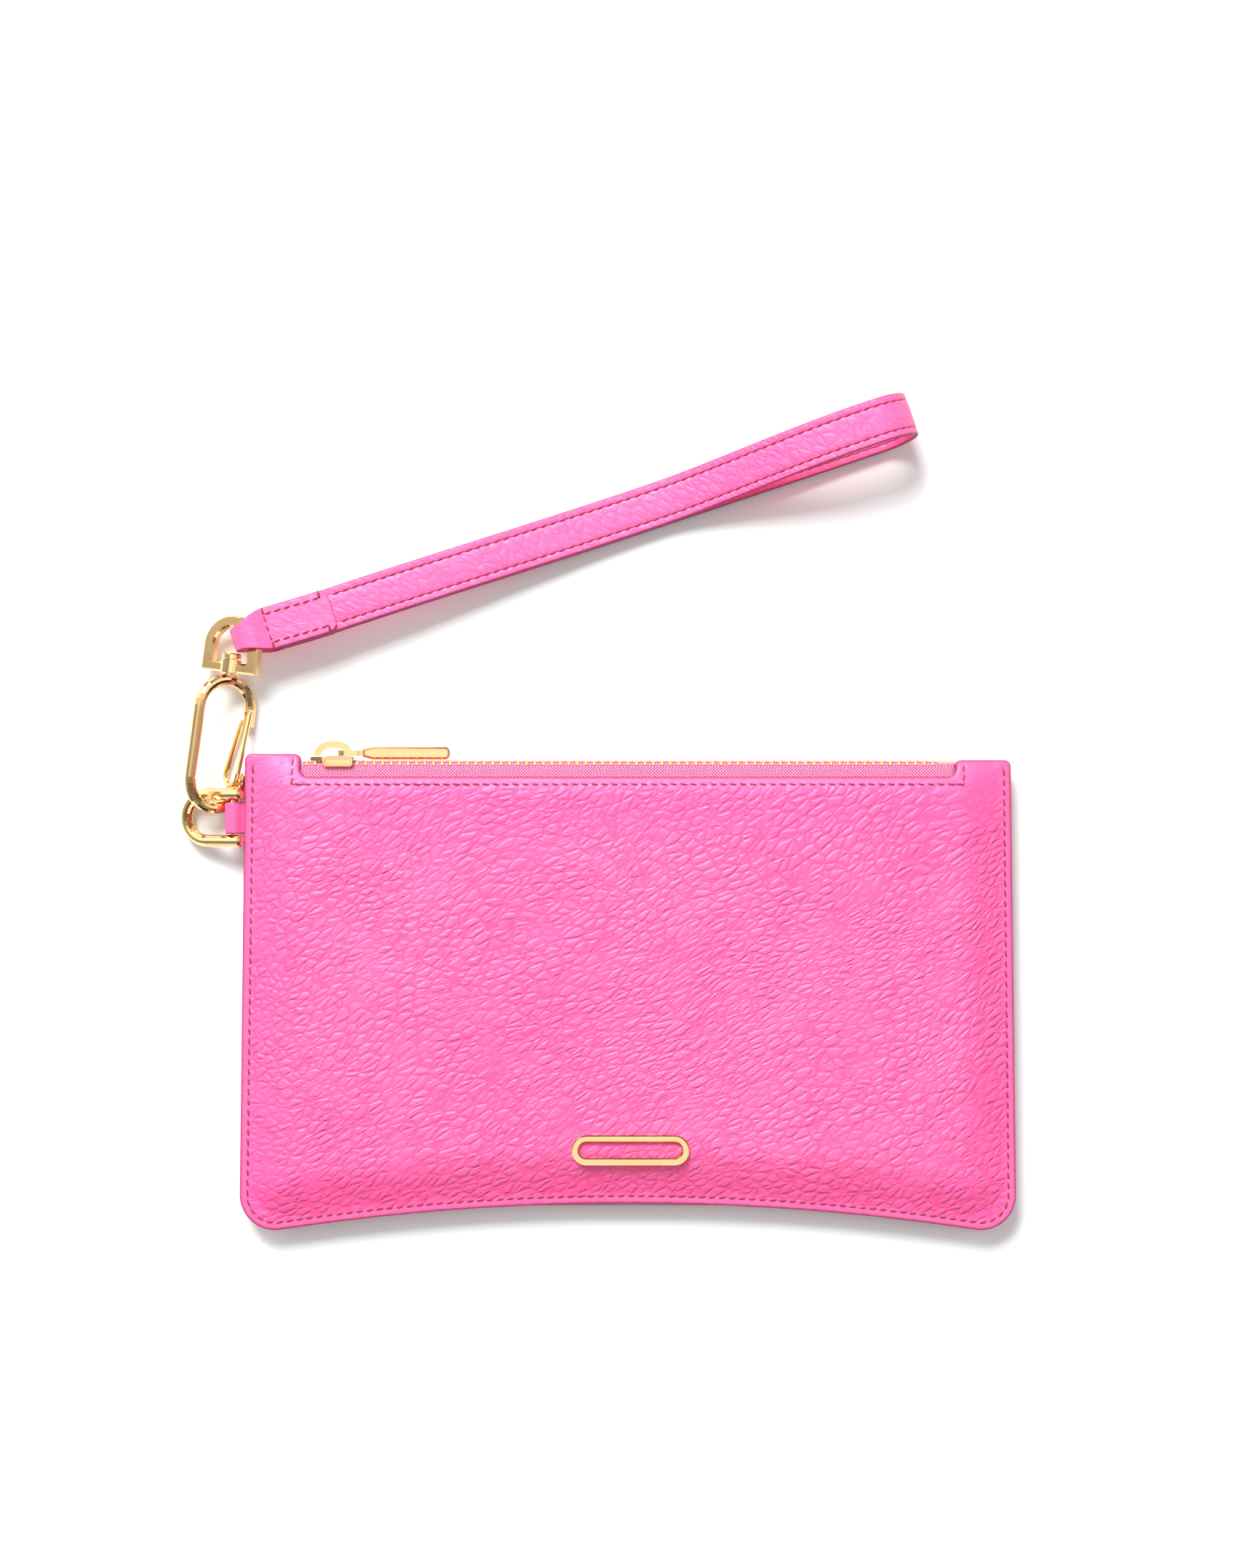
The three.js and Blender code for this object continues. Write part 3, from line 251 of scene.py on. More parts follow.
def tape_look(name):
    look = Look(name)
    at = look.place()
    axes = look.node("SeparateXYZ", {0: at})
    x, y = axes.outputs[0], axes.outputs[1]
    # ribs that change their slant in bands
    fold = look.math("PINGPONG", y, HERRINGBONE)
    slant = look.plus(x, look.times(fold, 1.1))
    ribs = look.math("SINE", look.times(slant, 2 * math.pi / RIB_PITCH))
    warp = look.math("SINE", look.times(y, 2 * math.pi / WARP_PITCH))
    yarn = look.plus(look.times(ribs, 0.46), look.times(warp, 0.14))
    fuzz = look.noise(at, 2400, 3, 0.7)
    height = look.plus(yarn, fuzz)
    # the weave's hollows take the deeper pink and its ribs the paler: the rib pattern with painted shade in
    # its hollows
    colour = look.mix(look.ramp(height, 0.0, 1.0), (0.98, 0.12, 0.34, 1), (1.0, 0.47, 0.66, 1))
    return look.finish(colour=colour, rough=0.82, normal=look.bump(height, 0.00030), sheen=0.08,
                       sheen_rough=0.5, specular=0.25)


def teeth_look(name):
    """Metal teeth on a sewn cord: the outer bead is thread, the rest is metal."""
    look = Look(name)
    at = look.place()
    up = look.node("SeparateXYZ", {0: at}).outputs[2]
    away = look.math("ABSOLUTE", look.minus(up, SEAM_Z * MM))
    cord = look.ramp(away, 0.00122, 0.00128)
    slanted = look.mapped(at, (0, 0, 0.7))
    twist = look.node("TexWave", {"Vector": slanted, "Scale": 700.0, "Distortion": 1.5})
    thread = look.mix(twist.outputs["Fac"], (0.84, 0.10, 0.27, 1), (0.97, 0.25, 0.45, 1))
    cloud = look.ramp(look.noise(at, 400, 3), 0.3, 0.7)
    tone = look.mix(cloud, (0.86, 0.61, 0.28, 1), (0.97, 0.78, 0.46, 1))
    colour = look.mix(cord, tone, thread)
    metal = look.minus(1.0, cord)
    rough = look.plus(look.times(cord, 0.55), 0.2)
    bump = look.bump(look.times(twist.outputs["Fac"], cord), 0.0001)
    return look.finish(colour=colour, metal=metal, rough=rough, normal=bump)


def lining_look(name):
    look = Look(name)
    at = look.place()
    axes = look.node("SeparateXYZ", {0: at})
    warp = look.math("SINE", look.times(axes.outputs[0], 2 * math.pi / WEAVE_PITCH))
    weft = look.math("SINE", look.times(axes.outputs[1], 2 * math.pi / WEAVE_PITCH))
    weave = look.times(warp, weft)
    tone = look.plus(look.times(weave, 0.3), look.noise(at, 700, 3))
    colour = look.mix(look.ramp(tone, 0.2, 0.9), (0.80, 0.30, 0.47, 1), (0.92, 0.44, 0.60, 1))
    return look.finish(colour=colour, rough=0.8, normal=look.bump(weave, 0.00006), sheen=0.2,
                       sheen_rough=0.5)


def thread_look(name, colour, deep):
    look = Look(name)
    at = look.place()
    twist = look.node(
        "TexWave", {"Vector": look.mapped(at, (0, 0, 0.6)), "Scale": 900.0, "Distortion": 2.0}
    )
    fuzz = look.noise(at, 3000, 3)
    tone = look.mix(look.times(twist.outputs["Fac"], 0.8), colour, deep)
    tone = look.mix(look.ramp(fuzz, 0.4, 0.7, 0.0, 0.4), tone, deep)
    return look.finish(colour=tone, rough=0.62, normal=look.bump(twist.outputs["Fac"], 0.00008),
                       sheen=0.3, sheen_rough=0.4)


# Needle holes: dark plugs painted with the shade inside each hole
def hole_shade_look(name):
    look = Look(name)
    tone = look.noise(look.place(), 2000, 2)
    colour = look.mix(tone, (0.20, 0.015, 0.05, 1), (0.33, 0.03, 0.10, 1))
    return look.finish(colour=colour, rough=0.8)


def floor_look(name):
    look = Look(name)
    at = look.place()
    tone = look.mix(look.noise(at, 5, 2), (0.915, 0.97, 0.966, 1), (0.93, 0.98, 0.976, 1))
    return look.finish(colour=tone, rough=0.85, specular=0.15,
                       normal=look.bump(look.noise(at, 1500, 3), 0.00002))


LEATHER_FRONT = leather_look("front_leather")
LEATHER_BACK = leather_look("back_leather", flow=24)
LEATHER_STRAP = leather_look("strap_leather", flow=-28, depth=0.00020, stretch=0.5)
GOLD = gold_look("hardware_gold")
GOLD_ZIP = gold_look("zip_metal", rough=0.17)
TEETH = teeth_look("zip_teeth_metal")
TAPE = tape_look("zip_tape")
LINING = lining_look("lining_cloth")
THREAD = thread_look("stitch_thread", (0.44, 0.035, 0.10, 1), (0.22, 0.012, 0.04, 1))
THREAD_EDGE = thread_look("edge_stitch_thread", (0.46, 0.045, 0.115, 1), (0.25, 0.016, 0.05, 1))
HOLE_SHADE = hole_shade_look("needle_hole_shade")
FLOOR = floor_look("studio_floor")

# ------------------------------------------------------------------ meshes


def add_mesh(name, points, faces, material, smooth=True, values=None):
    """A mesh object from points in millimetres, with the leather's three attributes."""
    mesh = bpy.data.meshes.new(name)
    mesh.from_pydata((np.asarray(points, float) * MM).tolist(), [], faces)
    mesh.materials.append(material)
    mesh.polygons.foreach_set("use_smooth", [smooth] * len(mesh.polygons))
    for key in ("calm", "paint", "shade"):
        data = (values or {}).get(key, np.zeros(len(points)))
        layer = mesh.attributes.new(key, "FLOAT", "POINT")
        layer.data.foreach_set("value", np.asarray(data, np.float32))
    mesh.validate()
    mesh.update()
    obj = bpy.data.objects.new(name, mesh)
    bpy.context.scene.collection.objects.link(obj)
    return obj


def settle(obj, body, slot, *replaced):
    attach(obj, body)
    if replaced:
        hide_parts(*replaced)
    return obj


def unit(v):
    return v / np.linalg.norm(v)


def directions(line):
    """Unit vectors along a line of points."""
    ahead = np.gradient(line, axis=0)
    return ahead / np.linalg.norm(ahead, axis=1)[:, None]


def tube_faces(rows, around):
    """Quads between neighbouring rings of points, and a cap on each end."""
    faces = []
    for i in range(rows - 1):
        for j in range(around):
            k = (j + 1) % around
            faces.append((i * around + j, i * around + k, (i + 1) * around + k, (i + 1) * around + j))
    faces.append(tuple(range(around))[::-1])
    faces.append(tuple((rows - 1) * around + j for j in range(around)))
    return faces


def rounded(corners, step):
    """Points round a closed outline whose corners are (x, y, radius)."""
    points = []
    count = len(corners)
    for i, (x, y, radius) in enumerate(corners):
        here = np.array([x, y], float)
        back = unit(np.array(corners[i - 1][:2], float) - here)
        on = unit(np.array(corners[(i + 1) % count][:2], float) - here)
        if not radius:
            points.append(here)
            continue
        half = math.acos(np.clip(back @ on, -1, 1)) / 2
        start = here + back * radius / math.tan(half)
        end = here + on * radius / math.tan(half)
        centre = here + unit(back + on) * radius / math.sin(half)
        a0 = math.atan2(*(start - centre)[::-1])
        a1 = math.atan2(*(end - centre)[::-1])
        turn = (a1 - a0 + math.pi) % (2 * math.pi) - math.pi
        steps = max(4, math.ceil(abs(turn) * radius / (0.6 * step)))
        for k in range(steps + 1):
            angle = a0 + turn * k / steps
            points.append(centre + radius * np.array([math.cos(angle), math.sin(angle)]))
    return resample(np.array(points), step, closed=True)


def resample(points, step, closed=False):
    """The same line with no gap between neighbours longer than step."""
    out = []
    last = len(points) if closed else len(points) - 1
    for i in range(last):
        a, b = points[i], points[(i + 1) % len(points)]
        parts = max(1, math.ceil(np.linalg.norm(b - a) / step))
        out += [a + (b - a) * k / parts for k in range(parts)]
    if not closed:
        out.append(points[-1])
    return np.array(out)


def bottom_arc(inset, corner):
    """Corners along the panel's hollow bottom edge, between its two lower corners."""
    half = BOTTOM_HALF - inset - 1.25 * corner
    xs = np.linspace(-half, half, 15)
    sag = BOTTOM_RADIUS - np.sqrt(BOTTOM_RADIUS**2 - xs**2)
    return [(x, BOTTOM_Y - s + inset, 0) for x, s in zip(xs, sag)]


def outline(step, inset=0.0):
    """The panel's outline, with the mouth between its two ears, moved in by inset."""
    k = inset
    corner = max(LOWER_CORNER - k, 1.0)
    return rounded(
        [(-BOTTOM_HALF + k, CORNER_Y + k, corner), *bottom_arc(k, corner),
         (BOTTOM_HALF - k, CORNER_Y + k, corner),
         (TOP_HALF - k, TOP_RIGHT_Y - k, EAR_CORNER), (MOUTH_HALF + k, TOP_RIGHT_Y - k, EAR_CORNER),
         (MOUTH_HALF + k, MOUTH_Y - k, MOUTH_CORNER), (-MOUTH_HALF - k, MOUTH_Y - k, MOUTH_CORNER),
         (-MOUTH_HALF - k, TOP_LEFT_Y - k, EAR_CORNER), (-TOP_HALF + k, TOP_LEFT_Y - k, EAR_CORNER)],
        step,
    )


def swell_line(step=2.0):
    """Where the panel starts to rise from its flat flange."""
    k, corner = FLANGE, SWELL_CORNER
    high = MOUTH_Y + SWELL_PAST_MOUTH
    return rounded(
        [(-BOTTOM_HALF + k, CORNER_Y + k, corner), *bottom_arc(k, corner),
         (BOTTOM_HALF - k, CORNER_Y + k, corner), (TOP_HALF - k, high, corner),
         (-TOP_HALF + k, high, corner)],
        step,
    )


def distance(points, line, closed=True):
    """How far each point is from a line of short pieces."""
    a = line
    b = np.roll(line, -1, axis=0)
    if not closed:
        a, b = a[:-1], b[:-1]
    best = np.full(len(points), 1e9)
    for p, q in zip(a, b):
        d = q - p
        t = np.clip(((points - p) @ d) / max(d @ d, 1e-12), 0, 1)
        best = np.minimum(best, np.linalg.norm(points - p - t[:, None] * d, axis=1))
    return best


def inside(points, line):
    """Whether each point is inside a closed line."""
    x, y = points[:, 0], points[:, 1]
    result = np.zeros(len(points), bool)
    for (x0, y0), (x1, y1) in zip(line, np.roll(line, -1, axis=0)):
        if y0 == y1:
            continue
        crosses = (y0 > y) != (y1 > y)
        result ^= crosses & (x < (x1 - x0) * (y - y0) / (y1 - y0) + x0)
    return result


def even_step(t):
    t = np.clip(t, 0, 1)
    return t * t * (3 - 2 * t)


EDGE_STITCH_INSET = 2.05
EDGE_STITCH_LEFT_Y = 62.2
EDGE_STITCH_RIGHT_Y = 61.4
MOUTH_STITCH_INSET = 1.9
MOUTH_STITCH_END = 1.0


def nearest(points, place):
    return int(np.argmin(np.linalg.norm(points - np.array(place), axis=1)))


def edge_stitch_path(step=0.5):
    """Down the left side, along the bottom and up the right side."""
    k = EDGE_STITCH_INSET
    corner = LOWER_CORNER - k
    first = (-TOP_HALF + k, EDGE_STITCH_LEFT_Y)
    last = (TOP_HALF - k + 0.2, EDGE_STITCH_RIGHT_Y)
    ring = rounded(
        [(*first, 0), (-BOTTOM_HALF + k, CORNER_Y + k, corner), *bottom_arc(k, corner),
         (BOTTOM_HALF - k, CORNER_Y + k, corner), (*last, 0)],
        step,
    )
    ring = np.roll(ring, -nearest(ring, first), axis=0)
    return ring[: nearest(ring, last) + 1]


def mouth_stitch_path(step=0.5):
    """Down one ear, under the mouth's edge and up the other ear."""
    side, low = MOUTH_HALF + MOUTH_STITCH_INSET, MOUTH_Y - MOUTH_STITCH_INSET
    return resample(
        np.array([(-side, TOP_LEFT_Y - MOUTH_STITCH_END), (-side, low),
                  (side, low), (side, TOP_RIGHT_Y - MOUTH_STITCH_END)]),
        step,
    )


EDGE_PATH = edge_stitch_path()
MOUTH_PATH = mouth_stitch_path()
SWELL = swell_line()
RIM = outline(1.5)
GROOVE_DEPTH, GROOVE_WIDTH = 0.22, 0.5
RIM_DROP, RIM_DROP_WIDTH = 0.24, 0.40
BORDER_RISE, BORDER_AT, BORDER_WIDTH = 0.14, 0.95, 0.55
SLOW_DENT, QUICK_DENT = 0.45, 0.16


def seam_distance(points):
    return np.minimum(distance(points, EDGE_PATH, False), distance(points, MOUTH_PATH, False))


def panel_height(points, lively=True):
    """Outer face above the seam's mid plane; lively adds the leather's shallow dents."""
    gap = distance(points, SWELL)
    within = inside(points, SWELL)
    t = np.where(within, gap / SWELL_RUN, 0)
    rise = RISE * (0.55 * even_step(t) + 0.45 * (1 - (1 - np.clip(t, 0, 1)) ** 2.6))
    height = SEAM_GAP / 2 + LEATHER + rise
    height -= GROOVE_DEPTH * np.exp(-((seam_distance(points) / GROOVE_WIDTH) ** 2))
    rim = distance(points, RIM)
    height -= RIM_DROP * np.exp(-rim / RIM_DROP_WIDTH)
    # the border between the mouth's edge and its stitches is a folded band
    border = np.exp(-(((rim - BORDER_AT) / BORDER_WIDTH) ** 2))
    border = border * (np.abs(points[:, 0]) < MOUTH_HALF + 4) * (points[:, 1] > 50)
    height += BORDER_RISE * border
    if lively:
        flat = even_step((t - 0.45) / 0.55)
        near_ring = np.exp(-((points[:, 0] / 26) ** 2 + ((points[:, 1] + 42) / 12) ** 2))
        slow = np.array([field.noise(Vector((x / 38, y / 30, 1.7))) for x, y in points])
        quick = np.array([field.noise(Vector((x / 13, y / 11, 5.1))) for x, y in points])
        dents = SLOW_DENT * np.abs(slow) + QUICK_DENT * np.abs(quick)
        height -= dents * flat * (1 - near_ring)
    return height


def panel_calm(flat, rim_gap):
    """Where the grain fades: along the rim and towards the upper corners."""
    corners = 0.85 * even_step((flat[:, 1] - 40) / 22) * even_step((np.abs(flat[:, 0]) - 70) / 25)
    return np.maximum(np.exp(-((rim_gap / 2.6) ** 4)), corners)


def panel_shade(flat, rim_gap):
    """Painted shade: a deeper pink on the slopes at the panel's edges that turn from the light, below the
    mouth, and in the seam grooves.
    """
    x, y = flat[:, 0], flat[:, 1]
    sides = 0.24 * even_step((x - 88) / 9) + 0.10 * even_step((-x - 93) / 7)
    low = 0.45 * even_step((-45 - y) / 9)
    top = 0.22 * even_step((y - 38) / 12) * even_step((MOUTH_HALF + 3 - np.abs(x)) / 5)
    slopes = np.maximum(np.maximum(sides, low), top) * even_step((rim_gap - 2.2) / 1.2)
    return np.maximum(slopes, 0.55 * np.exp(-((seam_distance(flat) / 0.42) ** 2)))


RIM_RINGS = (0.35, 0.8, 1.4)  # extra rings of points inside the rim
WALL_BULGE = ((0.18, 0.09), (0.5, 0.13), (0.82, 0.09))  # share of the edge's depth, how far out


def panel(name, side, spacing, body_slot, material, replaced):
    """One leather panel; side is 1 for the front and -1 for the back."""
    rim = outline(spacing * 0.8)
    rows = [rim, *(outline(spacing, inset) for inset in RIM_RINGS)]
    reach = np.arange(-BOTTOM_HALF, BOTTOM_HALF, spacing)
    lift = np.arange(CORNER_Y, TOP_LEFT_Y, spacing * 0.87)
    grid = np.array([(x + (j % 2) * spacing / 2, y) for j, y in enumerate(lift) for x in reach])
    grid = grid[inside(grid, RIM)]
    grid = grid[distance(grid, RIM) > RIM_RINGS[-1] + spacing * 0.55]
    points = np.vstack([*rows, grid])
    count = len(rim)
    edges = [(i, (i + 1) % count) for i in range(count)]
    flat, _, faces, *_ = delaunay_2d_cdt([Vector(p) for p in points], edges, [], 1, 1e-5)
    flat = np.array([tuple(p) for p in flat])
    a, b, c = (flat[list(corner)] for corner in zip(*faces))
    turns = (b - a)[:, 0] * (c - a)[:, 1] - (b - a)[:, 1] * (c - a)[:, 0]
    faces = [tuple(f) if s > 0 else tuple(f)[::-1] for f, s in zip(faces, turns)]
    height = panel_height(flat)
    directed = dict.fromkeys(edge for f in faces for edge in zip(f, f[1:] + f[:1]))
    border = [(a, b) for a, b in directed if (b, a) not in directed]
    n = len(flat)
    top = np.column_stack([flat, height])
    bottom = np.column_stack([flat, height - LEATHER])
    after = dict(border)
    start = border[0][0]
    loop = [start]
    while after[loop[-1]] != start:
        loop.append(after[loop[-1]])
    loop_points = flat[loop]
    tangent = np.roll(loop_points, -1, axis=0) - np.roll(loop_points, 1, axis=0)
    tangent /= np.linalg.norm(tangent, axis=1)[:, None]
    outward = np.column_stack([tangent[:, 1], -tangent[:, 0]])
    walls = []
    for part, bulge in WALL_BULGE:
        walls.append(np.column_stack([loop_points + outward * bulge, height[loop] - part * LEATHER]))
    everything = np.vstack([top, bottom, *walls])
    result = list(faces) + [tuple(i + n for i in f[::-1]) for f in faces]
    m = len(loop)
    ladders = [loop, *[[2 * n + w * m + i for i in range(m)] for w in range(3)], [i + n for i in loop]]
    for upper, lower in zip(ladders, ladders[1:]):
        for i in range(m):
            k = (i + 1) % m
            result.append((upper[i], lower[i], lower[k], upper[k]))
    rim_gap = distance(flat, RIM)
    inner, edge = np.ones(n), np.ones(3 * m)
    values = {
        "calm": np.concatenate([panel_calm(flat, rim_gap), inner, edge]),
        "paint": np.concatenate([np.exp(-((rim_gap / 0.45) ** 2)), 0 * inner, edge]),
        # painted shade on the outer face, and a little over the whole inner face
        "shade": np.concatenate([panel_shade(flat, rim_gap), 0.3 * inner, 0 * edge]),
    }
    everything[:, 2] = SEAM_Z + side * everything[:, 2]
    if side < 0:
        result = [f[::-1] for f in result]
    obj = add_mesh(name, everything, result, material, values=values)
    return settle(obj, "pouch", body_slot, replaced)


panel("front_leather_panel", 1, 1.25, "front_leather", LEATHER_FRONT, "front_panel")
panel("back_leather_panel", -1, 2.0, "back_leather", LEATHER_BACK, "back_panel")


LINING_HALF = 99.5
LINING_LOW_Y, LINING_TOP_Y = -58.0, 50.0
LINING_THICK = 0.38
LINING_LEAST = 0.2
LINING_MOST = 2.75


def lining(name, side, replaced):
    """A cloth layer inside the leather, clear of it and of the other lining."""
    xs = np.linspace(-LINING_HALF, LINING_HALF, 58)
    ys = np.linspace(LINING_LOW_Y, LINING_TOP_Y, 34)
    flat = np.array([(x, y) for y in ys for x in xs])
    keep = np.minimum(panel_height(flat, False) - LEATHER - 1.1, LINING_MOST)
    keep = np.maximum(keep, LINING_LEAST)
    ripple = np.array([field.noise(Vector((x / 16, y / 16, side * 3))) for x, y in flat])
    height = np.maximum(keep - 0.12 * np.abs(ripple), LINING_LEAST)
    n = len(flat)
    top = np.column_stack([flat, SEAM_Z + side * (height + LINING_THICK)])
    low = np.column_stack([flat, SEAM_Z + side * height])
    faces = []
    cols, rows = len(xs), len(ys)
    for j in range(rows - 1):
        for i in range(cols - 1):
            a = j * cols + i
            quad = (a, a + 1, a + cols + 1, a + cols)
            faces.append(quad)
            faces.append(tuple(k + n for k in quad[::-1]))
    ring = [*range(cols), *[j * cols + cols - 1 for j in range(1, rows)],
            *[(rows - 1) * cols + i for i in range(cols - 2, -1, -1)],
            *[j * cols for j in range(rows - 2, 0, -1)]]
    for a, b in zip(ring, ring[1:] + ring[:1]):
        faces.append((b, a, a + n, b + n))
    if side < 0:
        faces = [f[::-1] for f in faces]
    obj = add_mesh(name, np.vstack([top, low]), faces, LINING)
    settle(obj, "pouch", "lining_cloth", replaced)
    return obj


lining("lining_cloth_front", 1, "lining_front")
lining("lining_cloth_back", -1, "lining_back")

# ------------------------------------------------------------------ stitching


def lengths(path):
    return np.concatenate([[0], np.cumsum(np.linalg.norm(np.diff(path, axis=0), axis=1))])


def along(path, at):
    """The path's points at distances measured along it."""
    s = lengths(path)
    return np.column_stack([np.interp(at, s, path[:, k]) for k in range(path.shape[1])])


STITCH_SIDES = 8
STITCH_RINGS = 7
HOLE_SIDES = 8


def sewn(path, normals, pitch, length, radius, slant=0.0, sink=0.5):
    """Capsules of thread that dip into the leather at both ends, and the holes between them.

    A normal is looked up along the normals' own line, which is short. So a run takes its
    last normal after its first few millimetres, which is right for a face that doesn't turn.
    """
    sides, rings = STITCH_SIDES, STITCH_RINGS
    s = lengths(path)
    total = s[-1]
    count = max(1, round(total / pitch))
    real = total / count
    gap = (real - length * real / pitch) / 2
    points, faces, holes, hole_faces = [], [], [], []
    for i in range(count):
        first = i * real + gap
        last = first + length * real / pitch
        t = np.linspace(0, 1, rings)
        at = first + (last - first) * t
        centre = along(path, at)
        up = along(normals, np.interp(at, s, s))
        up /= np.linalg.norm(up, axis=1)[:, None]
        ahead = directions(centre)
        across = np.cross(up, ahead)
        arch = np.sin(math.pi * t)
        width = radius * (0.55 + 0.45 * arch**0.5)
        centre = centre + up * (radius * (arch**0.6 - sink))[:, None]
        centre = centre + across * (slant * (t - 0.5))[:, None]
        base = len(points)
        for k in range(rings):
            for j in range(sides):
                a = 2 * math.pi * j / sides
                points.append(centre[k] + width[k] * (math.cos(a) * across[k] + math.sin(a) * up[k]))
        for k in range(rings - 1):
            for j in range(sides):
                a = base + k * sides + j
                b = base + k * sides + (j + 1) % sides
                faces.append((a, a + sides, b + sides, b)[::-1])
        faces.append(tuple(base + j for j in range(sides))[::-1])
        faces.append(tuple(base + (rings - 1) * sides + j for j in range(sides)))
        # a needle hole is a short plug, a little wider along the seam and at its top, coloured dark as
        # painted shade
        spot = along(path, np.array([first - gap]))[0]
        base = len(holes)
        for lift, wide, narrow in ((0.03, 1.15, 0.9), (-0.25, 0.9, 0.7)):
            for j in range(HOLE_SIDES):
                a = 2 * math.pi * j / HOLE_SIDES
                round_way = wide * math.cos(a) * ahead[0] + narrow * math.sin(a) * across[0]
                holes.append(spot + up[0] * lift + radius * round_way)
        low = base + HOLE_SIDES
        hole_faces.append(tuple(base + j for j in range(HOLE_SIDES)))
        hole_faces.append(tuple(low + j for j in range(HOLE_SIDES))[::-1])
        for j in range(HOLE_SIDES):
            k = (j + 1) % HOLE_SIDES
            hole_faces.append((base + j, low + j, low + k, base + k))
    return points, faces, holes, hole_faces


def sew(name, body, slot, runs, thread, with_holes=True, **how):
    """Several runs of stitches as one mesh of thread, and one of needle holes."""
    points, faces, holes, hole_faces = [], [], [], []
    for path, normals in runs:
        p, f, h, g = sewn(np.asarray(path, float), np.asarray(normals, float), **how)
        faces += [tuple(k + len(points) for k in face) for face in f]
        hole_faces += [tuple(k + len(holes) for k in face) for face in g]
        points += p
        holes += h
    settle(add_mesh(name, points, faces, thread), body, slot)
    if with_holes:
        # the needle holes' dark plugs are painted shade
        settle(add_mesh(name + "_holes", holes, hole_faces, HOLE_SHADE, smooth=False), body, slot)


def panel_run(path, side):
    """The one run of stitches that follows a path over a panel's outer face."""
    on_face = np.column_stack([path, SEAM_Z + side * panel_height(path, False)])
    return [(on_face, np.tile([0.0, 0.0, float(side)], (len(path), 1)))]


EDGE_SEWING = {"pitch": 2.75, "length": 2.3, "radius": 0.31, "slant": 0.30}
MOUTH_SEWING = {"pitch": 2.7, "length": 2.25, "radius": 0.29, "slant": -0.32}
for place, path, sewing in (("edge", EDGE_PATH, EDGE_SEWING), ("mouth", MOUTH_PATH, MOUTH_SEWING)):
    for face, side in (("front", 1), ("back", -1)):
        sew(f"{place}_stitches_{face}", "pouch", f"{face}_leather", panel_run(path, side),
            THREAD_EDGE, **sewing)

# ------------------------------------------------------------------ ribbons of leather or cloth


def section(half, thick, groove=0.0, pillow=0.0, below=True):
    """A ribbon's closed cross-section, from one edge over the top and back below.

    It gives the place across, the height and the paint of each point. groove is the depth
    of the stitch lines, on both faces where below is true, and pillow the rise between them.
    """
    inset, bulge = 2.0, 0.16
    share = min(1.0, half / (inset * 1.6))
    steps = np.array([0.0, 0.10, 0.28, 0.6, 1.1, 1.55, 1.8, inset, 2.25, 2.6, 3.3, 4.3]) * share
    steps = steps[steps < half * 0.96]
    rim = np.clip(1 - steps / 0.34, 0, 1) ** 2
    top = thick / 2 - 0.42 * thick * rim
    top = top - groove * np.exp(-(((steps - inset * share) / 0.34) ** 2))
    top = top + pillow * even_step((steps - inset * share) / 1.6)
    bottom = -(thick / 2 - 0.42 * thick * rim)
    if below:
        bottom = bottom + groove * np.exp(-(((steps - inset * share) / 0.34) ** 2))
    paint = np.clip(1 - (steps - 0.1) / 0.32, 0, 1)
    left = -half + steps - bulge * rim * 0.4
    across = np.concatenate([left, [0.0], -left[::-1], -left, [0.0], left[::-1]])
    height = np.concatenate([top, [top[-1]], top[::-1], bottom, [bottom[-1]], bottom[::-1]])
    colour = np.concatenate([paint, [0], paint[::-1], paint, [0], paint[::-1]])
    return across, height, colour


def ribbon(name, line, halves, thick, to_world, material, calm=0.0, **shape):
    """A band that follows a line of (x, z) points, with its width along local y."""
    line = np.asarray(line, float)
    ahead = directions(line)
    outward = np.column_stack([ahead[:, 1], -ahead[:, 0]])
    half_max = max(halves)
    widest, height, colour = section(half_max, thick, **shape)
    points, paint = [], []
    last = len(line) - 1
    for i, (at, out, half) in enumerate(zip(line, outward, halves)):
        across = widest * half / half_max
        end = 0.62 if i in (0, last) else 1.0  # both ends are thinned and painted
        for y, h, c in zip(across, height, colour):
            points.append((at[0] + out[0] * h * end, y, at[1] + out[1] * h * end))
            paint.append(1.0 if end < 1 else c)
    placed = to_world(np.array(points))
    values = {"paint": np.array(paint), "calm": np.full(len(points), calm)}
    return add_mesh(name, placed, tube_faces(len(line), len(widest)), material, values=values)


def smooth_line(points, rounds=2):
    """The line with its corners cut, once for each round."""
    points = np.asarray(points, float)
    for _ in range(rounds):
        a, b = points[:-1], points[1:]
        cut = np.empty((2 * len(a), points.shape[1]))
        cut[0::2] = 0.75 * a + 0.25 * b
        cut[1::2] = 0.25 * a + 0.75 * b
        points = np.vstack([points[:1], cut, points[-1:]])
    return points


# Strap frame: origin on the swivel head's arch, x along the strap, z up
STRAP_AT = np.array([-101.6673, 97.4608, 8.9175])
STRAP_X = np.array([0.94777, 0.31896, 0.0])
STRAP_TILT = math.radians(-4)
STRAP_Y = np.array([-0.31818, 0.94546, -0.06976])
STRAP_Z = np.cross(STRAP_X, STRAP_Y)
STRAP_SHIFT = 0.6
STRAP_WIDTH = 11.8
PLY = 0.8
PLY_GAP = 0.1
BAND = 2 * PLY + PLY_GAP
BAND_MID = (0.3 + BAND) / 2
LOOP_HEIGHT = 20.0
STRAP_REACH = 188.3
LOOP_START = 0.6  # share of the reach
LOOP_CLEAR = 0.1
TAB_END = 22.6
TAB_STITCH = 4.4


def strap_place(points):
    """From the strap's own frame to the row frame."""
    points = np.asarray(points, float)
    across = points[:, 1:2] - 0.55 * even_step((points[:, :1] - 1) / 20)
    return STRAP_AT + points[:, :1] * STRAP_X + across * STRAP_Y + points[:, 2:3] * STRAP_Z


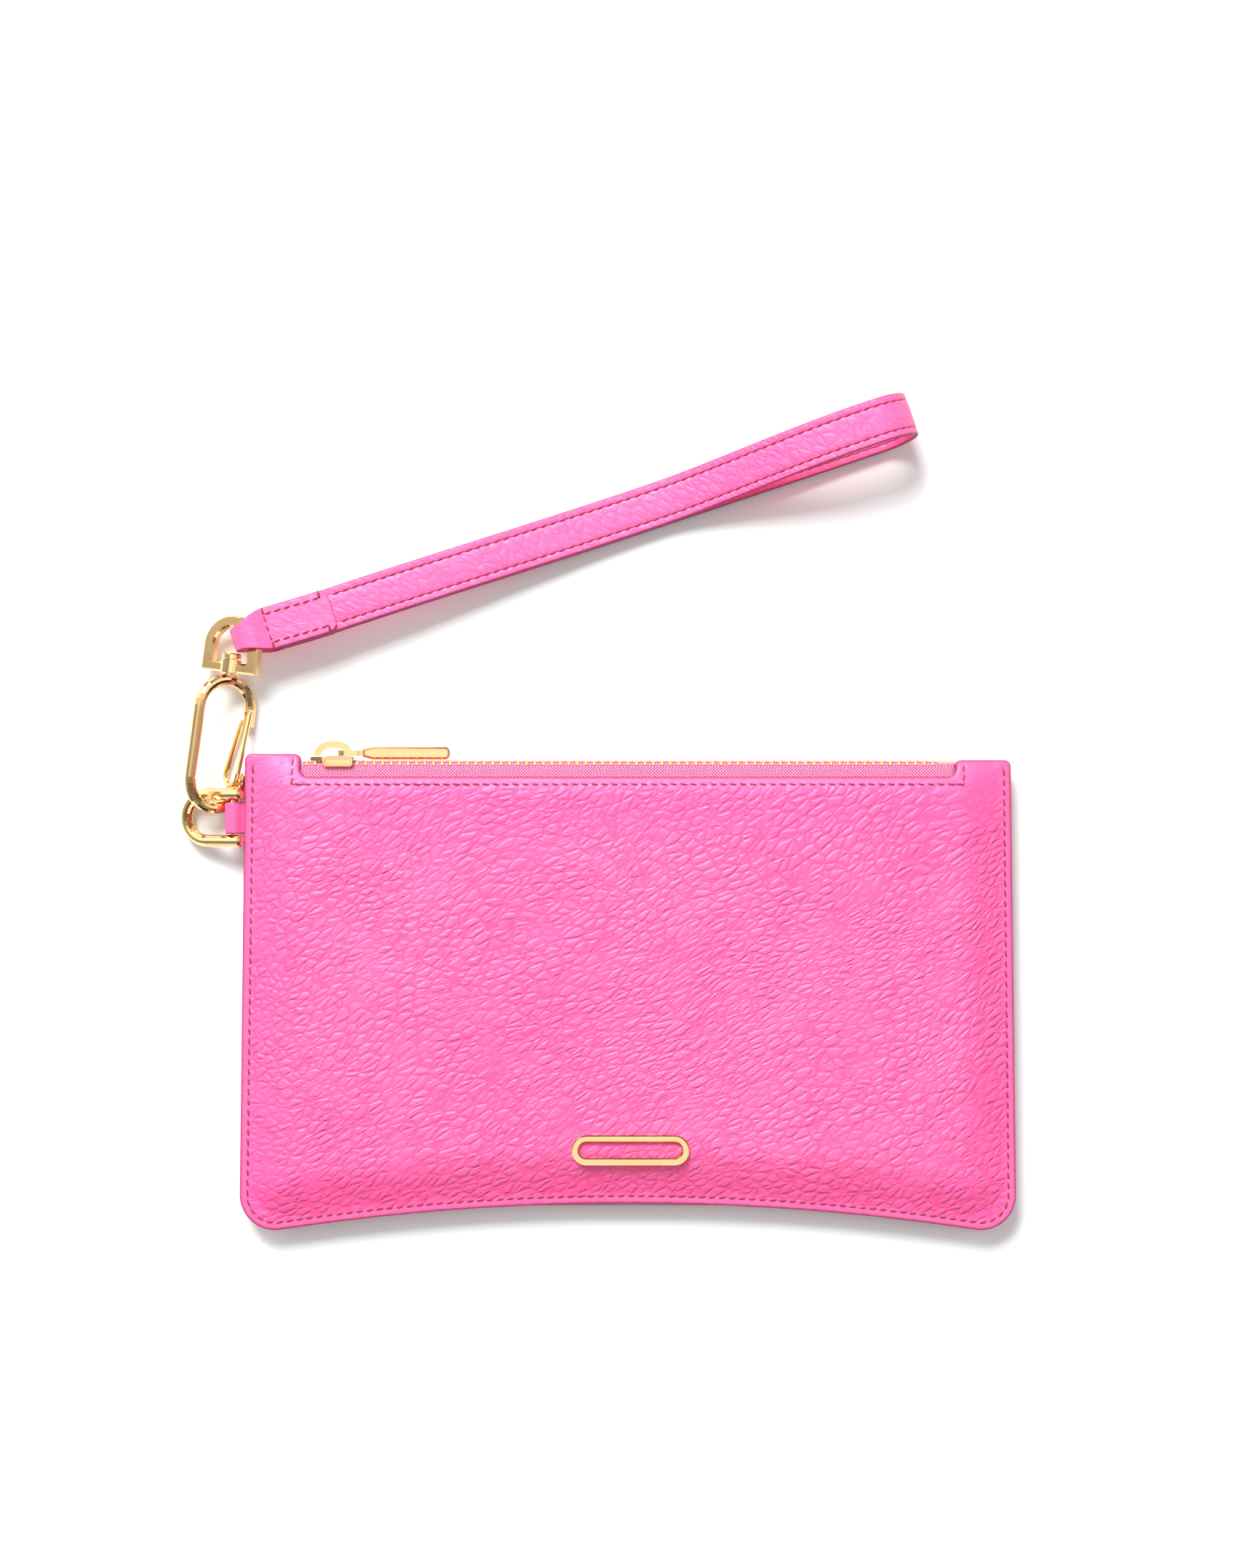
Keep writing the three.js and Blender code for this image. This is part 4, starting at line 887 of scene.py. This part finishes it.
def bezier(p0, p1, p2, p3, count):
    t = np.linspace(0, 1, count + 1)[:, None]
    p0, p1, p2, p3 = (np.array(p, float) for p in (p0, p1, p2, p3))
    return (1 - t) ** 3 * p0 + 3 * (1 - t) ** 2 * t * p1 + 3 * (1 - t) * t**2 * p2 + t**3 * p3


def band_line():
    """The middle of the folded band: out below, round the far loop and back on top."""
    rest = STRAP_AT[2] - STRAP_SHIFT * STRAP_Y[2]
    low = -rest + BAND / 2 + STRAP_WIDTH / 2 * abs(math.sin(STRAP_TILT)) + LOOP_CLEAR
    high = -rest + LOOP_HEIGHT - BAND / 2
    radius = (high - low) / 2
    bend = STRAP_REACH - BAND / 2 - radius
    part = STRAP_REACH * LOOP_START
    lying = low + 2 * BAND_MID
    lower = bezier((TAB_END, -BAND_MID), (TAB_END + 26, -BAND_MID), (part * 0.72, low), (part, low), 80)
    rising = bezier((bend - 4, high), (bend * 0.86, high), (bend * 0.74, lying), (part, lying), 70)
    turn = np.linspace(-math.pi / 2, math.pi / 2, 41)
    arc = np.column_stack([bend + radius * np.cos(turn), low + radius + radius * np.sin(turn)])
    start = TAB_STITCH + 0.6
    straight_low = np.array([(x, -BAND_MID) for x in np.linspace(start, TAB_END, 14)[:-1]])
    straight_high = np.array([(x, BAND_MID) for x in np.linspace(TAB_END, start, 14)[1:]])
    floor_run = np.column_stack([np.linspace(part, bend, 40)[1:-1], np.full(38, low)])
    lifted = lower[-2::-1] + np.array([0, 2 * BAND_MID])
    return np.vstack([straight_low, lower, floor_run, arc, rising, lifted, straight_high])


def beside(line, gap):
    """The line moved sideways by gap."""
    ahead = directions(line)
    return line + gap * np.column_stack([-ahead[:, 1], ahead[:, 0]])


BAND_LINE = band_line()
half_ply = (PLY + PLY_GAP) / 2
strap_halves = np.full(len(BAND_LINE), STRAP_WIDTH / 2)
outer = ribbon("strap_outer_leather", beside(BAND_LINE, -half_ply), strap_halves, PLY, strap_place,
               LEATHER_STRAP, calm=0.25, groove=0.16, pillow=0.12, below=False)
settle(outer, "strap", "strap_leather", "strap_outer_ply")
inner = ribbon("strap_inner_leather", beside(BAND_LINE, half_ply)[::-1], strap_halves, PLY, strap_place,
               LEATHER_STRAP, calm=0.35, groove=0.12, pillow=0.06, below=False)
settle(inner, "strap", "strap_leather", "strap_inner_ply")


BAND_STITCH_INSET = 2.0
BAND_STITCH_END = 18


def band_runs(line, gap, sign):
    """Both rows of stitches on one face of the band."""
    face = beside(line, gap)
    ahead = directions(face)
    up = sign * np.column_stack([-ahead[:, 1], ahead[:, 0]])
    ups = up[:, :1] * STRAP_X + up[:, 1:2] * STRAP_Z
    runs = []
    for y in (-STRAP_WIDTH / 2 + BAND_STITCH_INSET, STRAP_WIDTH / 2 - BAND_STITCH_INSET):
        path = strap_place(np.column_stack([face[:, 0], np.full(len(face), y), face[:, 1]]))
        s = lengths(path)
        keep = (s > BAND_STITCH_END) & (s < s[-1] - BAND_STITCH_END)
        runs.append((path[keep], ups[keep]))
    return runs


OUTER_FACE = -(PLY + PLY_GAP / 2) + 0.10
INNER_FACE = PLY + PLY_GAP / 2 - 0.08
sew("strap_outer_stitches", "strap", "strap_leather", band_runs(BAND_LINE, OUTER_FACE, -1),
    THREAD, pitch=2.7, length=2.1, radius=0.26, slant=0.25)
sew("strap_inner_stitches", "strap", "strap_leather", band_runs(BAND_LINE, INNER_FACE, 1),
    THREAD, pitch=2.7, length=2.1, radius=0.24, slant=0.25)

# Tab folded round the swivel head's arch
TAB_LEATHER = 1.0
TAB_FLAT = BAND_MID + BAND / 2 + 0.2 + TAB_LEATHER / 2
TAB_LOOP = 4.6
TAB_REACH = 5.9
TAB_FOLD = 3.2
TAB_WIDE = 5.85
TAB_CORNER = 2.4


def tab_line():
    """The tab's middle: along the top, round the arch and back below."""
    centre = -TAB_REACH + TAB_LOOP + TAB_LEATHER / 2
    start = math.radians(62)
    turn = np.linspace(start, 2 * math.pi - start, 61)
    loop = np.column_stack([centre + TAB_LOOP * np.cos(turn), TAB_LOOP * np.sin(turn)])
    flat = np.linspace(TAB_END, TAB_STITCH + 0.8, 40)
    top = np.column_stack([flat, np.full(len(flat), TAB_FLAT)])
    low = np.column_stack([flat[::-1], np.full(len(flat), -TAB_FLAT)])
    rise = np.array([(TAB_STITCH - 0.2, TAB_FLAT + 0.12)])
    fall = np.array([(TAB_STITCH - 0.2, -TAB_FLAT - 0.12)])
    return smooth_line(np.vstack([top, rise, loop, fall, low]), 1)


TAB_LINE = tab_line()


def tab_half(x):
    """Half width of the tab at local x."""
    fold = -TAB_REACH - 1 + 2.4
    straight = np.clip((x - fold) / (TAB_STITCH - fold), 0, 1)
    wide = TAB_FOLD + (TAB_WIDE - TAB_FOLD) * (0.75 * even_step(straight) + 0.25 * straight)
    past = np.clip(x - (TAB_END - TAB_CORNER), 0, TAB_CORNER)
    return wide - (TAB_CORNER - np.sqrt(np.maximum(TAB_CORNER**2 - past**2, 0)))


tab = ribbon("strap_tab_leather", TAB_LINE[::-1], tab_half(TAB_LINE[::-1, 0]), TAB_LEATHER, strap_place,
             LEATHER_STRAP, calm=0.45, groove=0.0, pillow=0.0, below=False)
settle(tab, "strap", "strap_leather", "strap_tab")


def tab_runs(sign):
    """Three sides of a box of stitches on the tab's upper or lower face."""
    z = sign * (TAB_FLAT + TAB_LEATHER / 2 - 0.05)
    x0, x1, y = TAB_STITCH, TAB_END - 1.9, 4.0
    corners = np.array([(x1, -y, z), (x0, -y, z), (x0, y, z), (x1, y, z)])
    runs = []
    for a, b in zip(corners, corners[1:]):
        path = strap_place(resample(np.array([a, b]), 0.4))
        runs.append((path, np.tile(sign * STRAP_Z, (len(path), 1))))
    return runs


sew("tab_stitches", "strap", "strap_leather", tab_runs(1) + tab_runs(-1), THREAD, pitch=2.55, length=2.0,
    radius=0.28, slant=0.2)


def wrap_runs():
    """Threads that wrap the tab's edges at the ends of its box of stitches."""
    runs = []
    for x in (TAB_STITCH + 0.1, TAB_END - 2.2):
        for side in (-1, 1):
            for sign in (-1, 1):
                z = sign * (TAB_FLAT + TAB_LEATHER / 2 - 0.02)
                path = np.array([(x, side * 3.8, z), (x, side * 5.95, z - sign * 0.25)])
                path = strap_place(resample(path, 0.2))
                runs.append((path, np.tile(sign * STRAP_Z, (len(path), 1))))
    return runs


sew("tab_bar_tacks", "strap", "strap_leather", wrap_runs(), THREAD, with_holes=False, pitch=2.15, length=2.1,
    radius=0.36, sink=0.10)

# Side tab that holds the ring
PIN_X = -107.4
PIN_Z = 7.4
SIDE_TAB_Y = 47.6
SIDE_TAB_WIDTH = 8.5
SIDE_TAB_LEATHER = 0.68


def side_tab_line():
    """From inside the seam, round the ring's pin and back in."""
    radius = 1.25
    centre = PIN_X - 0.6
    turn = np.linspace(math.pi / 2, 1.5 * math.pi, 25)
    loop = np.column_stack([centre + radius * np.cos(turn), PIN_Z + radius * np.sin(turn)])
    start = np.array([(-100.8, SEAM_Z + 0.36), (-104.6, SEAM_Z + 0.36), (PIN_X + 0.8, PIN_Z + radius)])
    end = np.array([(PIN_X + 0.8, PIN_Z - radius), (-104.6, SEAM_Z - 0.36), (-100.8, SEAM_Z - 0.36)])
    return smooth_line(np.vstack([start, loop, end]), 2)


def side_tab_place(points):
    return np.asarray(points, float) + np.array([0, SIDE_TAB_Y, 0])


side_line = side_tab_line()
side_halves = np.full(len(side_line), SIDE_TAB_WIDTH / 2)
strip = ribbon("side_tab_leather", side_line[::-1], side_halves, SIDE_TAB_LEATHER, side_tab_place,
               LEATHER_STRAP, calm=0.7)
settle(strip, "pouch", "strap_leather", "side_tab")

# ------------------------------------------------------------------ zip

TAPE_TOP_Y = 62.6
TAPE_LOW_Y = 50.6
TAPE_MID = 2.15
TAPE_THICK = 0.5
TAPE_SLOPE = RISE / 32
TEETH_START_X = -88.6
TEETH_END_X = 84.5
PITCH = 2.3


def tape(name, side, replaced):
    """The cloth tape that carries one row of teeth, along the whole mouth."""
    low = TAPE_MID - 0.05 + (MOUTH_Y - TAPE_LOW_Y) * TAPE_SLOPE
    line = [(TAPE_LOW_Y, low), (MOUTH_Y, TAPE_MID - 0.05), (TAPE_TOP_Y, TAPE_MID)]
    line = smooth_line(resample(np.array(line), 0.8), 1)
    if side > 0:
        line = line[::-1]
    half = MOUTH_HALF - 0.3
    ahead = directions(line)
    out = np.column_stack([ahead[:, 1], -ahead[:, 0]])
    xs = np.linspace(-half, half, 150)
    ends = np.concatenate([[0.5], np.ones(len(line) - 2), [0.5]])[:, None]
    profile = []
    for face in (1, -1):
        part = line + face * out * TAPE_THICK / 2 * ends
        profile += list(part if face > 0 else part[::-1])
    points = [(x, y, SEAM_Z + side * z) for x in xs for y, z in profile]
    faces = tube_faces(len(xs), len(profile))
    return settle(add_mesh(name, points, faces, TAPE), "pouch", "zip_tape", replaced)


tape("zip_tape_cloth_front", 1, "zip_tape_front")
tape("zip_tape_cloth_back", -1, "zip_tape_back")


def block(centre, size, bevel):
    """A small block with chamfered edges, as points and faces."""
    cx, cy, cz = centre
    x, y, z = (s / 2 for s in size)
    points = []
    for dz, inset in ((-z, bevel), (-z + bevel, 0), (z - bevel, 0), (z, bevel)):
        a, b = x - inset, y - inset
        c = bevel * (0.7 if inset == 0 else 0.5)
        for px, py in ((-a + c, -b), (a - c, -b), (a, -b + c), (a, b - c),
                       (a - c, b), (-a + c, b), (-a, b - c), (-a, -b + c)):
            points.append((cx + px, cy + py, cz + dz))
    return points, tube_faces(4, 8)


# Each leg is two blocks: place across the zip, height from the seam, size and bevel
LEG_BLOCKS = (
    (62.72, 1.82, (0.86, 1.10, 0.62), 0.12),
    (62.62, 2.42, (0.92, 1.34, 0.34), 0.10),
)


def tooth_legs(name, side):
    """Each tooth's clamped leg, outside the cord it grips."""
    shift = 0 if side > 0 else PITCH / 2
    count = int((TEETH_END_X - TEETH_START_X - shift) / PITCH)
    points, faces = [], []
    for i in range(count):
        x = TEETH_START_X + shift + (i + 0.3) * PITCH + 0.55
        for y, lift, size, bevel in LEG_BLOCKS:
            p, f = block((x, y, SEAM_Z + side * lift), size, bevel)
            faces += [tuple(k + len(points) for k in face) for face in f]
            points += p
    return settle(add_mesh(name, points, faces, GOLD_ZIP, smooth=False), "pouch", "zip_metal")


tooth_legs("zip_tooth_legs_front", 1)
tooth_legs("zip_tooth_legs_back", -1)

SLIDER_PLATE = (-83.0, -74.7, 61.62, 64.36)  # x from and to, y from and to
PLATE_BORDER = 0.55


def plate_with_window(name, z0, z1):
    """A rounded plate with a sunk window on a side of the slider, built as nested rings."""
    x0, x1, y0, y1 = SLIDER_PLATE
    border = PLATE_BORDER

    def ring(inset, corner, z):
        line = rounded([(x0 + inset, y0 + inset, corner), (x1 - inset, y0 + inset, corner),
                        (x1 - inset, y1 - inset, corner), (x0 + inset, y1 - inset, corner)], 50.0)
        return np.column_stack([line, np.full(len(line), z)])

    rings = [ring(0, 0.95, z0), ring(0, 0.95, z1 - 0.14), ring(0.14, 0.81, z1), ring(border, 0.42, z1),
             ring(border + 0.12, 0.30, z1 - 0.12), ring(border + 0.14, 0.28, z0 + 0.06)]
    faces = tube_faces(len(rings), len(rings[0]))
    obj = add_mesh(name, np.vstack(rings), faces, GOLD_ZIP)
    obj.data.set_sharp_from_angle(angle=math.radians(35))
    return settle(obj, "slider", "zip_metal")


plate_with_window("slider_side_plate_front", 8.62, 9.0)
plate_with_window("slider_side_plate_back", 2.38, 2.0)

# ------------------------------------------------------------------ CAD metal

# Bevel widths; the CAD shape is kept
SOFT_EDGES = {"swivel_head": 0.00085, "zip_puller": 0.0005, "slider_bridge": 0.0005,
              "swivel_cap": 0.0003}
OTHER_EDGES = 0.00022
SHARP_ANGLE = math.radians(33)
for name, obj in nodes.items():
    if obj.hide_render:
        continue
    is_teeth = name in ("zip_teeth_front", "zip_teeth_back")
    if is_teeth:
        material = TEETH
    elif name.startswith(("zip_", "slider_")):
        material = GOLD_ZIP
    else:
        material = GOLD
    obj.data.materials.clear()
    obj.data.materials.append(material)
    custom = obj.data.attributes.get("custom_normal")
    if custom:
        obj.data.attributes.remove(custom)
    obj.data.polygons.foreach_set("use_smooth", [True] * len(obj.data.polygons))
    obj.data.set_sharp_from_angle(angle=SHARP_ANGLE)
    if is_teeth:
        continue
    soft = obj.modifiers.new("edges", "BEVEL")
    soft.width = SOFT_EDGES.get(name, OTHER_EDGES)
    soft.segments = 3
    soft.limit_method = "ANGLE"
    soft.angle_limit = SHARP_ANGLE
    soft.harden_normals = True
    soft.use_clamp_overlap = True

# ------------------------------------------------------------------ studio

FLOOR_HALF = 3
plane = bpy.data.meshes.new("studio_floor")
corners = [(-1, -1), (1, -1), (1, 1), (-1, 1)]
plane.from_pydata([(x * FLOOR_HALF, y * FLOOR_HALF, 0) for x, y in corners], [], [(0, 1, 2, 3)])
plane.materials.append(FLOOR)
floor = bpy.data.objects.new("studio_floor", plane)
floor.location.z = -0.0003
bpy.context.scene.collection.objects.link(floor)

world = bpy.data.worlds.new("studio")
bpy.context.scene.world = world
world.use_nodes = True
sky = Nodes(world.node_tree)
look_way = sky.node("TexCoord").outputs["Generated"]
height = sky.node("SeparateXYZ", {0: look_way}).outputs[2]


def sky_lobe(direction, low, high, strength):
    """A soft bright patch round a direction."""
    way = tuple(Vector(direction).normalized())
    toward = sky.node("VectorMath", {0: look_way, 1: way}, operation="DOT_PRODUCT")
    return sky.ramp(toward.outputs["Value"], low, high, 0.0, strength)


# Three bright patches over a grey dome, and dark bands low down for the metal to reflect
level = sky.ramp(height, 0.20, 0.75, 0.40, 0.14)
level = sky.plus(level, sky_lobe((0.04, 0.10, 1), 0.93, 0.992, 0.95))
level = sky.plus(level, sky_lobe((-0.50, 0.62, 0.60), 0.80, 0.92, 0.95))
level = sky.plus(level, sky_lobe((0.80, 0.15, 0.50), 0.88, 0.96, 0.7))
band = sky.times(sky.ramp(height, 0.03, 0.12), sky.ramp(height, 0.30, 0.42, 1.0, 0.0))
band = sky.times(band, sky_lobe((0.5, -0.85, 0.0), -0.15, 0.45, 0.42))
level = sky.minus(level, band)
low_band = sky.times(sky.ramp(height, 0.0, 0.05, 0.0, 0.34),
                    sky.ramp(height, 0.12, 0.2, 1.0, 0.0))
level = sky.math("MAXIMUM", sky.minus(level, low_band), 0.015)
warmth = sky.ramp(level, 0.03, 0.28, 1.0, 0.0)
tint = sky.node("MixRGB", {0: warmth, 1: (1, 1, 1, 1), 2: (1.0, 0.70, 0.42, 1)})
back = sky.node("Background", {0: tint.outputs[0], 1: sky.times(level, 1.3)})
sky.node("OutputWorld", {0: back.outputs[0]})


def area_light(name, place, aim, size, power):
    data = bpy.data.lights.new(name, "AREA")
    data.shape = "SQUARE"
    data.size = size
    data.energy = power
    obj = bpy.data.objects.new(name, data)
    obj.location = place
    obj.rotation_euler = (Vector(aim) - Vector(place)).to_track_quat("-Z", "Y").to_euler()
    bpy.context.scene.collection.objects.link(obj)


area_light("key", (-0.34, 1.0, 1.02), (0, 0.04, 0), 0.62, 28)
area_light("fill", (0.25, -0.9, 1.2), (0, 0.0, 0), 0.9, 3.4)

CAMERA_DISTANCE = 0.85
VIEW_WIDTH = 0.3423  # what the photo's width spans at the pouch's middle
SENSOR = 36  # millimetres
camera_data = bpy.data.cameras.new("camera")
camera_data.sensor_fit = "HORIZONTAL"
camera_data.sensor_width = SENSOR
camera_data.lens = SENSOR * CAMERA_DISTANCE / VIEW_WIDTH
camera = bpy.data.objects.new("camera", camera_data)
camera.location = (-0.0001, 0.0569, SEAM_Z * MM + CAMERA_DISTANCE)
bpy.context.scene.collection.objects.link(camera)
bpy.context.scene.camera = camera
bpy.context.scene.view_settings.view_transform = "Standard"
bpy.context.scene.view_settings.look = "None"
